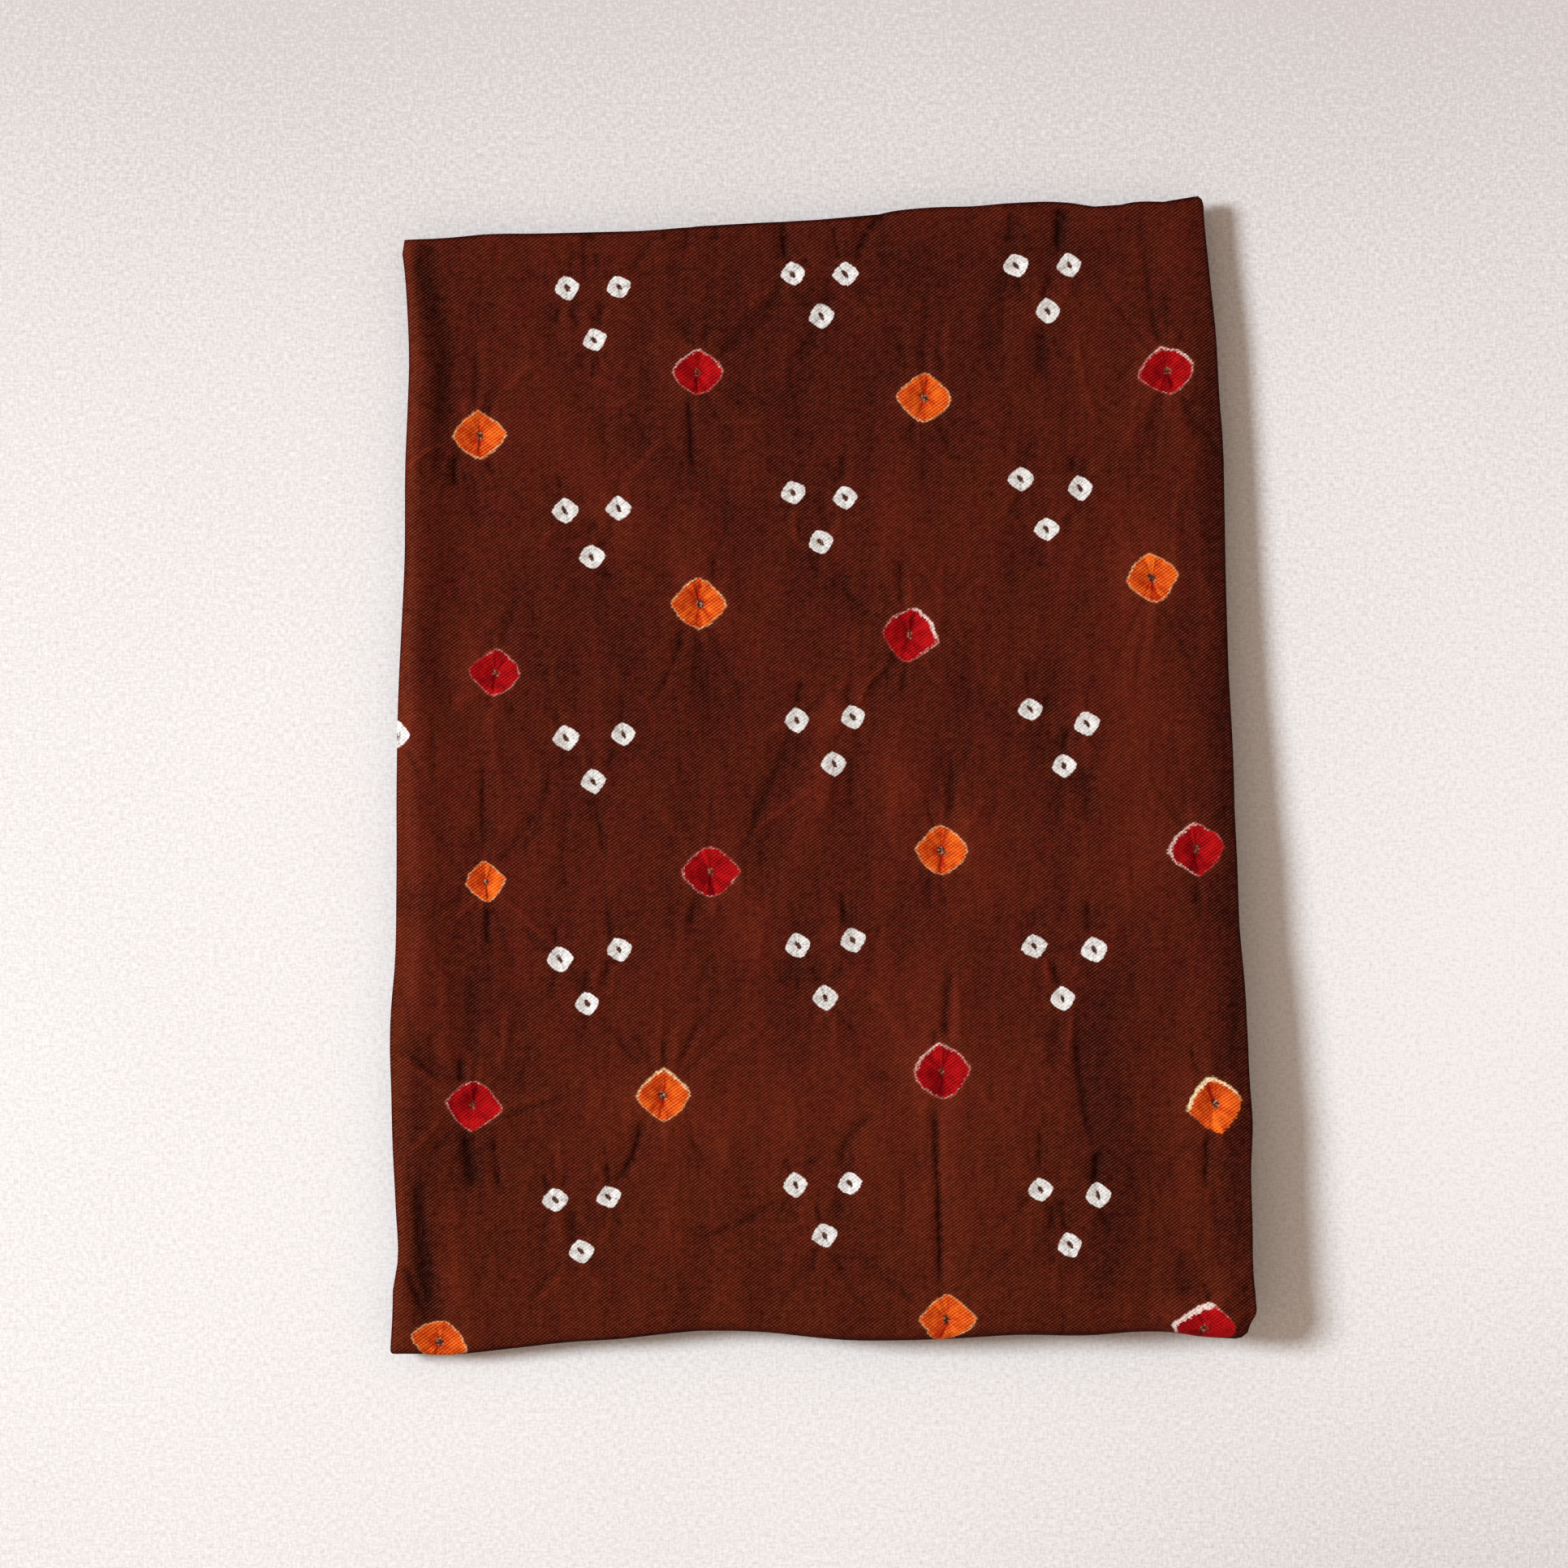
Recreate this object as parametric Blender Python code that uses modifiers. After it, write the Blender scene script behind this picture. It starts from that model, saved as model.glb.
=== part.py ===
"""Folded bandhani cloth: one length of tied and dyed cotton, folded into a flat packet.

The sheet is doubled lengthwise, with its fold on the left (-X) and its two long edges
on the right (+X). The doubled strip is then folded back and forth along Y into four
passes, so eight layers lie a little apart. The front folds face -Y, and the back fold
and both loose ends face +Y. The packet lies flat on Z = 0 and rises towards the front
right. Metres, +Z up, origin under the middle of the packet's box.
"""
from collections import namedtuple
from math import pi

import bpy
import numpy as np

MM = 0.001

# Driving sizes of the sheet
SHEET_THICKNESS = 1.0 * MM
PASSES = 4
PLIES = 2
LAYERS = PASSES * PLIES

# Steps of the grid that is folded
PLY_STEPS = 12
SIDE_FOLD_STEPS = 4
PASS_STEPS = 12
TURN_STEPS = 4
END_CROWDING = 0.4

# Names
OBJECT_NAME = "folded_bandhani_cloth"
NODE_NAME = "folded_cloth"

# Finish of the plain solid
GROUND_BROWN = (0.105, 0.020, 0.008, 1.0)
COTTON_ROUGHNESS = 0.92

# Side edges of the top pass, from the back to the front, in mm
Section = namedtuple("Section", "y left right")
SECTIONS = [
    Section(y=190.0, left=-142.2, right=129.2),
    Section(y=140.0, left=-140.6, right=133.8),
    Section(y=90.0, left=-142.0, right=136.2),
    Section(y=35.0, left=-144.0, right=137.4),
    Section(y=-35.0, left=-144.9, right=140.3),
    Section(y=-90.0, left=-146.3, right=143.7),
    Section(y=-150.0, left=-144.0, right=145.1),
    Section(y=-179.0, left=-144.8, right=146.4),
    Section(y=-189.0, left=-145.4, right=142.8),
]

# Lines where the strip ends or turns, in the strip's order from the bottom, in mm.
# y0 to y6 run from the left edge to the right in equal steps, and the insets draw
# that line's side edges in from those of the top pass.
Line = namedtuple("Line", "name y0 y1 y2 y3 y4 y5 y6 inset_left inset_right")
LINES = [
    Line("loose end underneath", 176.8, 179.4, 181.2, 183.0, 187.0, 188.4, 189.6, 2.4, 3.4),
    Line("lower front fold", -193.2, -191.2, -187.4, -188.6, -188.8, -187.2, -186.8, 1.4, 1.8),
    Line("back fold", 178.8, 181.2, 182.4, 185.6, 189.4, 191.4, 193.0, 2.0, 3.0),
    Line("upper front fold", -196.4, -194.2, -189.5, -191.3, -190.9, -189.4, -190.6, 0.0, 0.0),
    Line("loose end on top", 181.4, 183.6, 185.2, 188.2, 192.5, 194.0, 196.4, 0.0, 0.0),
]

# Height of the packet at its left edge, middle and right edge, in mm
Height = namedtuple("Height", "y left middle right")
HEIGHTS = [
    Height(y=190.0, left=10.5, middle=10.5, right=10.6),
    Height(y=65.0, left=10.8, middle=12.2, right=12.4),
    Height(y=-65.0, left=11.2, middle=14.2, right=15.8),
    Height(y=-190.0, left=10.6, middle=15.6, right=20.6),
]

# Soft swells of the upper layers, in mm
Swell = namedtuple("Swell", "name x y half_width half_length rise")
SWELLS = [
    Swell("rise behind the front fold", 62.0, -150.0, 30.0, 34.0, 1.1),
    Swell("ridge between the left dots", -58.0, -70.0, 22.0, 70.0, 0.9),
    Swell("ridge between the right dots", 24.0, 40.0, 24.0, 80.0, 0.8),
    Swell("rise by the right edge", 105.0, -20.0, 22.0, 60.0, 0.8),
    Swell("rise inside the left fold", -114.0, 60.0, 20.0, 70.0, 0.7),
]


def smooth_curve(x, stations, values):
    """Cubic curve through a table: each span joins its two values and their slopes."""
    slopes = np.gradient(values, stations)
    x = np.clip(x, stations[0], stations[-1])
    span = np.clip(np.searchsorted(stations, x, side="right") - 1, 0, len(stations) - 2)
    length = stations[span + 1] - stations[span]
    t = (x - stations[span]) / length
    rise = values[span] * (2 * t**3 - 3 * t**2 + 1) + values[span + 1] * (3 * t**2 - 2 * t**3)
    return rise + length * (slopes[span] * (t**3 - 2 * t**2 + t) + slopes[span + 1] * (t**3 - t**2))


def column(table, name):
    """One named column of a table, in metres, from the front of the packet to its back."""
    return np.array([getattr(row, name) for row in table][::-1]) * MM


def packet_height(across, y):
    """Height of the packet: a curve along Y at three places, and a parabola between them."""
    stations = column(HEIGHTS, "y")
    left = smooth_curve(y, stations, column(HEIGHTS, "left"))
    middle = smooth_curve(y, stations, column(HEIGHTS, "middle"))
    right = smooth_curve(y, stations, column(HEIGHTS, "right"))
    from_left = (1 - across) * (1 - 2 * across)
    from_middle = 4 * across * (1 - across)
    from_right = across * (2 * across - 1)
    return left * from_left + middle * from_middle + right * from_right


def layer_spacing(across, y):
    """Distance between the middles of two neighbouring layers."""
    return (packet_height(across, y) - SHEET_THICKNESS) / (LAYERS - 1)


def line_y(number, across):
    """Y of one end or fold line, smooth through its seven places."""
    places = [getattr(LINES[number], f"y{place}") for place in range(7)]
    return smooth_curve(across, np.linspace(0, 1, 7), np.array(places) * MM)


def straight_end(number, across):
    """Y where the flat part of a pass meets a line: short of a fold by the fold's reach."""
    y = line_y(number, across)
    if number in (0, PASSES):
        return y
    reach = 1.5 * layer_spacing(across, y) + SHEET_THICKNESS / 2
    return y - np.sign(y) * reach


def swell_rise(x, y):
    """Sum of the soft swells, each a bell that is longer along the packet than across it."""
    total = np.zeros_like(x)
    for swell in SWELLS:
        over_x = (x / MM - swell.x) / swell.half_width
        over_y = (y / MM - swell.y) / swell.half_length
        total += swell.rise * MM * np.exp(-over_x**2 - over_y**2)
    return total


def place_across(column_index):
    """Where a grid column lies: 0 at the left fold to 1 at the right edge, and its fold angle."""
    fold_start = PLY_STEPS
    fold_end = PLY_STEPS + SIDE_FOLD_STEPS
    last = fold_end + PLY_STEPS
    across = np.interp(column_index, [0, fold_start, fold_end, last], [1, 0, 0, 1])
    angle = np.interp(column_index, [fold_start, fold_end], [-pi / 2, pi / 2])
    return across, angle


def place_along(row_index):
    """Where a grid row lies: its pass, how far along that pass, and its angle in the turn."""
    block = PASS_STEPS + TURN_STEPS
    strip_pass = np.minimum(row_index // block, PASSES - 1)
    step = row_index - strip_pass * block
    share = np.minimum(step / PASS_STEPS, 1)
    along = share - END_CROWDING * np.sin(2 * pi * share) / (2 * pi)
    turn = pi * np.maximum(step - PASS_STEPS, 0) / TURN_STEPS
    return strip_pass, along, turn


def fold_point(column_index, row_index):
    """Point of the folded sheet's middle surface for each row and column of the flat grid.

    A pass is flat, and its two plies lie half a spacing to each side of the strip's
    centre. At the left the plies join round a half circle. At a front or back line the
    strip turns round a half circle too, with the outer ply at three times the inner
    ply's radius.
    """
    across, side_angle = place_across(column_index)
    strip_pass, along, turn = place_along(row_index)
    side = np.where(strip_pass % 2 == 0, 1, -1)
    ply = np.sin(side_angle) / 2
    radius = 1 - side * ply

    starts = np.array([straight_end(number, across) for number in range(PASSES)])
    ends = np.array([straight_end(number + 1, across) for number in range(PASSES)])
    points = np.arange(len(across))
    start = starts[strip_pass, points]
    end = ends[strip_pass, points]
    spacing = layer_spacing(across, start + (end - start) * along)
    y = start + (end - start) * along - side * radius * spacing * np.sin(turn)

    stations = column(SECTIONS, "y")
    inset_left = np.array([line.inset_left for line in LINES]) * MM
    inset_right = np.array([line.inset_right for line in LINES]) * MM
    strip_place = strip_pass + along
    numbers = np.arange(len(LINES))
    left = smooth_curve(y, stations, column(SECTIONS, "left"))
    left = left + np.interp(strip_place, numbers, inset_left)
    right = smooth_curve(y, stations, column(SECTIONS, "right"))
    right = right - np.interp(strip_place, numbers, inset_right)
    inner_left = left + spacing / 2 + SHEET_THICKNESS / 2
    x = inner_left + (right - inner_left) * across - spacing * np.cos(side_angle) / 2

    level = 2 * strip_pass + 1.5 - radius * np.cos(turn)
    z = SHEET_THICKNESS / 2 + level * spacing
    z = z + swell_rise(x, y) * (level / (LAYERS - 1)) ** 2
    return x, y, z


def make_folded_cloth(collection, material):
    """Fold a flat grid by the formula above and give it the sheet's thickness."""
    columns = 2 * PLY_STEPS + SIDE_FOLD_STEPS
    rows = PASSES * PASS_STEPS + (PASSES - 1) * TURN_STEPS
    bpy.ops.mesh.primitive_grid_add(x_subdivisions=columns, y_subdivisions=rows, size=1)
    cloth = bpy.context.active_object
    cloth.name = NODE_NAME
    mesh = cloth.data
    mesh.name = NODE_NAME

    flat = np.empty(len(mesh.vertices) * 3)
    mesh.vertices.foreach_get("co", flat)
    flat = flat.reshape(-1, 3)
    column_index = np.rint((flat[:, 0] + 0.5) * columns)
    row_index = np.rint((flat[:, 1] + 0.5) * rows).astype(int)
    points = np.column_stack(fold_point(column_index, row_index))
    folded_side = points[:, :2].min(axis=0) - SHEET_THICKNESS / 2
    open_side = points[:, :2].max(axis=0)
    points[:, :2] -= (folded_side + open_side) / 2
    mesh.vertices.foreach_set("co", points.ravel())
    mesh.shade_smooth()
    mesh.update()

    wall = cloth.modifiers.new("sheet thickness", "SOLIDIFY")
    wall.thickness = SHEET_THICKNESS
    wall.offset = 0
    wall.use_even_offset = True
    wall.use_quality_normals = True

    mesh.materials.append(material)
    for owner in list(cloth.users_collection):
        owner.objects.unlink(cloth)
    collection.objects.link(cloth)
    return cloth


def make_cotton():
    """Matt dark brown cotton."""
    material = bpy.data.materials.new("dyed cotton")
    material.use_nodes = True
    shader = material.node_tree.nodes["Principled BSDF"]
    shader.inputs["Base Color"].default_value = GROUND_BROWN
    shader.inputs["Roughness"].default_value = COTTON_ROUGHNESS
    shader.inputs["Metallic"].default_value = 0.0
    return material


def main():
    """Clear the scene and make the cloth."""
    for old in list(bpy.data.objects):
        bpy.data.objects.remove(old, do_unlink=True)
    collection = bpy.data.collections.new(OBJECT_NAME)
    bpy.context.scene.collection.children.link(collection)
    make_folded_cloth(collection, make_cotton())


main()
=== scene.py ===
# %% [markdown]
# # A folded bandhani cloth
# Bandhani is cotton that is tied and then dyed. Small pinches of the sheet are bound with
# thread, so the dye can't reach them, and each pinch opens into a ring or a dot with a
# mark at its middle where the binding was. This lesson folds one such sheet into a flat
# packet, puckers it round its ties, and dyes it.
#
# The frame is loaded first. Everything is in metres, with +Z up out of the top layer, +Y
# towards the back edge and the origin under the middle of the packet.

from collections import namedtuple
from math import cos, pi, radians, sin

import bpy
import numpy as np
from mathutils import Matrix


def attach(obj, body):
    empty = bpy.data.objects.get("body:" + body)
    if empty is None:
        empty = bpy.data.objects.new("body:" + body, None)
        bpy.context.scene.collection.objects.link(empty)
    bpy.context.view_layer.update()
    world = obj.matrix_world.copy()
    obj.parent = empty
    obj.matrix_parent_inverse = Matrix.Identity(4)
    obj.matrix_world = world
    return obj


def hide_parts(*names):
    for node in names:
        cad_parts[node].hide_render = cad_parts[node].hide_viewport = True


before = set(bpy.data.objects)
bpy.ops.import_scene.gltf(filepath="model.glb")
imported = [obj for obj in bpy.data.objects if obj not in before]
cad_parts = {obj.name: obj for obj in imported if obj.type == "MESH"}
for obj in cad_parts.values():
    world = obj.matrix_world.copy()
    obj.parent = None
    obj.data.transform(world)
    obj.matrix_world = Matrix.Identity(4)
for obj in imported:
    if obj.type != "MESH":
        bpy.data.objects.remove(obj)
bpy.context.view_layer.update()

# %% [markdown]
# ## Sizes of the sheet
# The real cloth lies in about twenty thin layers. Eight slightly thicker ones, a little
# apart, fill the same height and still read as soft layers from the side. The sheet is
# doubled lengthwise, with its fold on the left, and then folded back and forth in four
# passes. Its top layer is the one that is looked at, so it gets a grid four times finer
# than the layers that lie under it.

# %% Set the sizes
MM = 0.001
SHEET_THICKNESS = 0.8 * MM
PASSES = 4
LAYERS = 2 * PASSES

FINE = 4
TOP_COLUMNS = 59
FOLD_COLUMNS = 6
INNER_ACROSS = [0.0, 0.02, 0.045, 0.08, 0.14, 0.3, 0.5, 0.7, 0.86, 0.95, 1.0]
BOTTOM_ROWS = 64
MIDDLE_ROWS = 8
TOP_ROWS = 79
TURN_ROWS = 6
END_CROWDING = 0.4

print("layers:", LAYERS, "of", SHEET_THICKNESS / MM, "mm")

# %% [markdown]
# ## Edges of the packet
# No edge of a folded cloth is straight. The left edge is a fold, the right one is two raw
# edges lying together, the front one is a fold, and the back one is the sheet's loose
# end. Each is a short table of places in millimetres, and a smooth curve joins them.

# %% List the edges in mm
Side = namedtuple("Side", "y x")
LEFT_EDGE = [
    Side(-196, -147.0),
    Side(-182, -146.2),
    Side(-174, -146.0),
    Side(-168, -144.8),
    Side(-146, -145.2),
    Side(-126, -146.2),
    Side(-106, -146.7),
    Side(-91, -147.1),
    Side(-81, -146.8),
    Side(-64, -145.4),
    Side(-38, -144.9),
    Side(0, -144.8),
    Side(26, -144.3),
    Side(55, -142.9),
    Side(70, -142.2),
    Side(107, -141.8),
    Side(124, -141.1),
    Side(141, -140.6),
    Side(156, -141.1),
    Side(170, -142.0),
    Side(179.4, -142.8),
    Side(180.9, -142.5),
    Side(181.8, -141.8),
]
RIGHT_EDGE = [
    Side(-191, 140.0),
    Side(-189, 142.9),
    Side(-186, 144.2),
    Side(-182, 146.3),
    Side(-178, 146.2),
    Side(-169, 145.4),
    Side(-152, 145.1),
    Side(-135, 144.6),
    Side(-117, 145.1),
    Side(-106, 144.3),
    Side(-87, 143.5),
    Side(-72, 142.7),
    Side(-53, 141.0),
    Side(-32, 140.2),
    Side(-14, 139.4),
    Side(9, 138.8),
    Side(36, 137.4),
    Side(63, 136.6),
    Side(95, 136.1),
    Side(112, 135.7),
    Side(129, 134.4),
    Side(149, 133.3),
    Side(170, 131.1),
    Side(190, 129.2),
    Side(194, 128.9),
    Side(195.6, 128.2),
    Side(196.6, 126.9),
]

End = namedtuple("End", "x y")
BACK_EDGE = [
    End(-142, 181.4),
    End(-128, 182.2),
    End(-116, 183.3),
    End(-99, 183.6),
    End(-79, 183.8),
    End(-60, 184.7),
    End(-40, 186.3),
    End(-25, 187.1),
    End(-4, 188.2),
    End(12, 189.1),
    End(22, 191.1),
    End(35, 192.4),
    End(50, 192.9),
    End(64, 194.0),
    End(80, 194.3),
    End(95, 192.6),
    End(105, 194.3),
    End(119, 194.6),
    End(128, 196.4),
]
FRONT_EDGE = [
    End(-147, -196.8),
    End(-138, -196.8),
    End(-129, -197.2),
    End(-120, -196.4),
    End(-106, -194.8),
    End(-86, -192.6),
    End(-70, -191.6),
    End(-60, -190.4),
    End(-50, -189.3),
    End(-39, -188.5),
    End(-30, -188.8),
    End(-20, -189.3),
    End(-6, -190.7),
    End(8, -191.8),
    End(27, -191.8),
    End(42, -191.3),
    End(64, -189.9),
    End(90, -189.9),
    End(103, -188.8),
    End(115, -188.8),
    End(126, -190.2),
    End(140, -191.0),
]

# %% [markdown]
# ## Ends under the top layer, and the packet's height
# The other fold lines and the loose end underneath are nearly hidden, so seven places
# each are enough. The packet is thin at the back left and thick at the front right,
# where the folds of the real cloth are springy. Lower layers draw in a little from the
# top one's edges, because no one folds all edges exactly over each other.

# %% List the hidden ends, the heights and the insets in mm
HIDDEN_ENDS = {
    0: [176.8, 179.4, 181.2, 183.0, 187.0, 188.4, 189.6],
    1: [-193.2, -191.2, -187.4, -188.6, -188.8, -187.2, -186.8],
    2: [178.8, 181.2, 182.4, 185.6, 189.4, 191.4, 193.0],
}
Inset = namedtuple("Inset", "left right")
INSETS = [
    Inset(2.4, 3.4),
    Inset(1.4, 1.8),
    Inset(2.0, 3.0),
    Inset(0.0, 0.0),
    Inset(0.0, 0.0),
]
Height = namedtuple("Height", "y left middle right")
HEIGHTS = [
    Height(y=-190.0, left=10.6, middle=15.6, right=21.4),
    Height(y=-65.0, left=11.2, middle=14.2, right=18.0),
    Height(y=65.0, left=10.8, middle=12.2, right=12.4),
    Height(y=190.0, left=10.5, middle=10.5, right=10.6),
]


def column(table, name):
    """One named column of a table, as an array in metres."""
    return np.array([getattr(row, name) for row in table]) * MM


def smooth_curve(x, stations, values):
    """Cubic curve through a table: each span joins its two values and their slopes."""
    slopes = np.gradient(values, stations)
    x = np.clip(x, stations[0], stations[-1])
    span = np.clip(np.searchsorted(stations, x, side="right") - 1, 0, len(stations) - 2)
    length = stations[span + 1] - stations[span]
    t = (x - stations[span]) / length
    rise = values[span] * (2 * t**3 - 3 * t**2 + 1) + values[span + 1] * (3 * t**2 - 2 * t**3)
    return rise + length * (slopes[span] * (t**3 - 2 * t**2 + t) + slopes[span + 1] * (t**3 - t**2))


def packet_height(across, y):
    """Height of the packet: a curve along Y at three places, and a parabola between them."""
    stations = column(HEIGHTS, "y")
    left, middle, right = [
        smooth_curve(y, stations, column(HEIGHTS, name)) for name in ("left", "middle", "right")
    ]
    at_left = (1 - across) * (1 - 2 * across)
    at_middle = 4 * across * (1 - across)
    at_right = across * (2 * across - 1)
    return left * at_left + middle * at_middle + right * at_right


def left_edge(y):
    """X of the top pass's left fold."""
    return smooth_curve(y, column(LEFT_EDGE, "y"), column(LEFT_EDGE, "x"))


def right_edge(y):
    """X of the top pass's open edges."""
    return smooth_curve(y, column(RIGHT_EDGE, "y"), column(RIGHT_EDGE, "x"))


def layer_spacing(across, y):
    """Distance between the middles of two neighbouring layers."""
    return (packet_height(across, y) - SHEET_THICKNESS) / (LAYERS - 1)


def line_y(number, across):
    """Y of one end or fold line at each place across, counted from the bottom of the packet."""
    if number in HIDDEN_ENDS:
        places = np.array(HIDDEN_ENDS[number]) * MM
        return smooth_curve(across, np.linspace(0, 1, len(places)), places)
    edge = BACK_EDGE if number == PASSES else FRONT_EDGE
    x = column(edge, "x")
    return smooth_curve(x[0] + (x[-1] - x[0]) * across, x, column(edge, "y"))


def straight_end(number, across):
    """Y where the flat part of a pass meets a line: short of a fold by the fold's reach."""
    y = line_y(number, across)
    if number in (0, PASSES):
        return y
    reach = 1.5 * layer_spacing(across, y) + SHEET_THICKNESS / 2
    return y - np.sign(y) * reach


middle_height = packet_height(np.array(0.5), np.array(0.0))
print("height in the middle, mm:", round(float(middle_height) / MM, 2))

# %% [markdown]
# ## Stations of the grid
# A column of the grid says how far across the packet a point lies, and its angle in the
# left fold. A row says which pass it is in, how far along that pass, and its angle in the
# turn at a fold line. The stations crowd near the ends, where the layers bend.

# %% Lay out the columns and rows
Columns = namedtuple("Columns", "across angle ply_end")
Rows = namedtuple("Rows", "strip_pass along turn")


def lay_columns(top_across):
    """Columns: across the first ply to the left fold, round it, and back across the second."""
    inner = np.array(INNER_ACROSS)
    fold_angle = np.linspace(-pi / 2, pi / 2, FOLD_COLUMNS + 1)
    across = np.concatenate([top_across, np.zeros(FOLD_COLUMNS - 1), inner])
    before = np.full(len(top_across) - 1, -pi / 2)
    after = np.full(len(inner) - 1, pi / 2)
    angle = np.concatenate([before, fold_angle, after])
    return Columns(across, angle, len(top_across) - 1)


def lay_rows(steps, with_turn, strip_pass, crowding):
    """Rows of one pass: along it in equal or crowded steps, then round its turn."""
    share = np.linspace(0, 1, steps + 1)
    along = share - crowding * np.sin(2 * pi * share) / (2 * pi)
    turn = np.zeros(steps + 1)
    if with_turn:
        along = np.append(along, np.ones(TURN_ROWS - 1))
        turn = np.append(turn, pi * np.arange(1, TURN_ROWS) / TURN_ROWS)
    return Rows(np.full(len(along), strip_pass), along, turn)


passes = [
    lay_rows(BOTTOM_ROWS, True, 0, 0.0),
    lay_rows(MIDDLE_ROWS, True, 1, END_CROWDING),
    lay_rows(MIDDLE_ROWS, True, 2, END_CROWDING),
    lay_rows(TOP_ROWS, False, 3, 0.0),
]
coarse_rows = Rows(*[np.concatenate(parts) for parts in zip(*passes)])
fine_rows = lay_rows(TOP_ROWS * FINE, False, 3, 0.0)
coarse_columns = lay_columns(np.linspace(1, 0, TOP_COLUMNS + 1))
fine_across = np.linspace(1, 0, TOP_COLUMNS * FINE + 1)
fine_columns = Columns(fine_across, np.full(len(fine_across), -pi / 2), TOP_COLUMNS * FINE)
FIRST_TOP_ROW = len(coarse_rows.along) - TOP_ROWS - 1
print("grid under the top layer:", len(coarse_rows.along), "rows of", len(coarse_columns.across))
print("grid of the top layer:", len(fine_rows.along), "rows of", len(fine_across))

# %% [markdown]
# ## The fold formula
# This is the whole packet before any creasing. Each pass is flat, and its two plies lie
# half a spacing to each side of the strip's middle. At the left they join round a half
# circle. At a front or back line the strip turns round a half circle too, with its outer
# ply at three times the inner ply's radius, so no layer cuts through another.

# %% Fold the sheet
Folded = namedtuple("Folded", "x y level spacing")
EDGE_STRAY = 0.5 * MM
SLOW_STRAY = 21 * MM
QUICK_STRAY = 8 * MM


def fold_sheet(rows, columns):
    """Place of the flat packet's sheet for every row and column.

    Y runs along the pass from its start to its end, plus the turn's half circle. X runs
    from the left fold to the open edges. Level counts layers from 0, underneath, to 7 on
    top, and changes smoothly round a turn or the left fold. Open edges below the top one
    stray in by a wave that differs from layer to layer.
    """
    across = np.broadcast_to(columns.across, (len(rows.along), len(columns.across)))
    strip_pass = rows.strip_pass[:, None]
    along = rows.along[:, None]
    turn = rows.turn[:, None]
    side = np.where(strip_pass % 2 == 0, 1, -1)
    ply = np.sin(columns.angle)[None, :] / 2
    radius = 1 - side * ply

    ends = np.array([straight_end(number, columns.across) for number in range(PASSES + 1)])
    start = ends[rows.strip_pass]
    end = ends[rows.strip_pass + 1]
    y = start + (end - start) * along
    spacing = layer_spacing(across, y)
    y = y - side * radius * spacing * np.sin(turn)
    level = 2 * strip_pass + 1.5 - radius * np.cos(turn)

    numbers = np.arange(len(INSETS))
    inset_left = np.interp(strip_pass + along, numbers, column(INSETS, "left"))
    inset_right = np.interp(strip_pass + along, numbers, column(INSETS, "right"))
    stray = 1.2 + np.sin(y / SLOW_STRAY + 2.1 * level) + 0.4 * np.sin(y / QUICK_STRAY + 4.4 * level)
    inset_right = inset_right + EDGE_STRAY * stray * np.clip(LAYERS - 1 - level, 0, 1)
    left = left_edge(y) + inset_left + spacing / 2 + SHEET_THICKNESS / 2
    right = right_edge(y) - inset_right
    x = left + (right - left) * across - spacing * np.cos(columns.angle)[None, :] / 2
    return Folded(x, y, level, spacing)


coarse = fold_sheet(coarse_rows, coarse_columns)
fine = fold_sheet(fine_rows, fine_columns)
print("top layer in mm:", np.round(np.ptp(fine.x) / MM, 1), "by", np.round(np.ptp(fine.y) / MM, 1))

# %% [markdown]
# ## Chart of the ties
# The pattern is a common one: triads of small white rings, and larger dots in orange and
# red by turns, each on its own lattice of about 77 mm. A hand ties every pinch, so no two
# have quite the same place, size or turn. The top layer's ties are charted one by one,
# in millimetres. The dye fills a large dot less than its tie did, which leaves a pale
# rim. The shift says to which side the dye lies, so the rim is wide on the other side.

# %% Chart the ties of the top layer, in mm
Triad = namedtuple("Triad", "x1 y1 x2 y2 x3 y3")
TRIADS = [
    Triad(-87.0, 165.1, -69.4, 165.4, -77.6, 147.5),
    Triad(-10.2, 169.8, 7.6, 169.8, -0.6, 155.5),
    Triad(65.4, 172.8, 83.5, 172.8, 76.1, 157.2),
    Triad(-87.5, 89.5, -69.4, 90.3, -78.4, 73.8),
    Triad(-10.2, 95.6, 7.4, 93.9, -0.9, 78.8),
    Triad(67.0, 100.2, 87.1, 97.2, 75.8, 83.2),
    Triad(-87.2, 12.5, -67.7, 13.6, -77.9, -2.3),
    Triad(-8.9, 18.3, 10.1, 19.4, 3.5, 3.7),
    Triad(70.1, 22.1, 89.3, 17.2, 81.6, 2.9),
    Triad(-89.2, -62.6, -69.1, -59.3, -80.1, -77.7),
    Triad(-8.6, -57.9, 10.1, -56.2, 0.8, -75.5),
    Triad(71.4, -58.2, 91.8, -59.3, 81.1, -75.8),
    Triad(-90.8, -144.2, -72.7, -143.1, -82.0, -161.6),
    Triad(-9.4, -139.0, 9.0, -138.5, 0.5, -156.1),
    Triad(73.4, -140.4, 92.9, -142.3, 83.3, -159.1),
]
WHITE, ORANGE, RED = 0, 1, 2
Dot = namedtuple("Dot", "x y kind width height turn shift_x shift_y fill")
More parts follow.
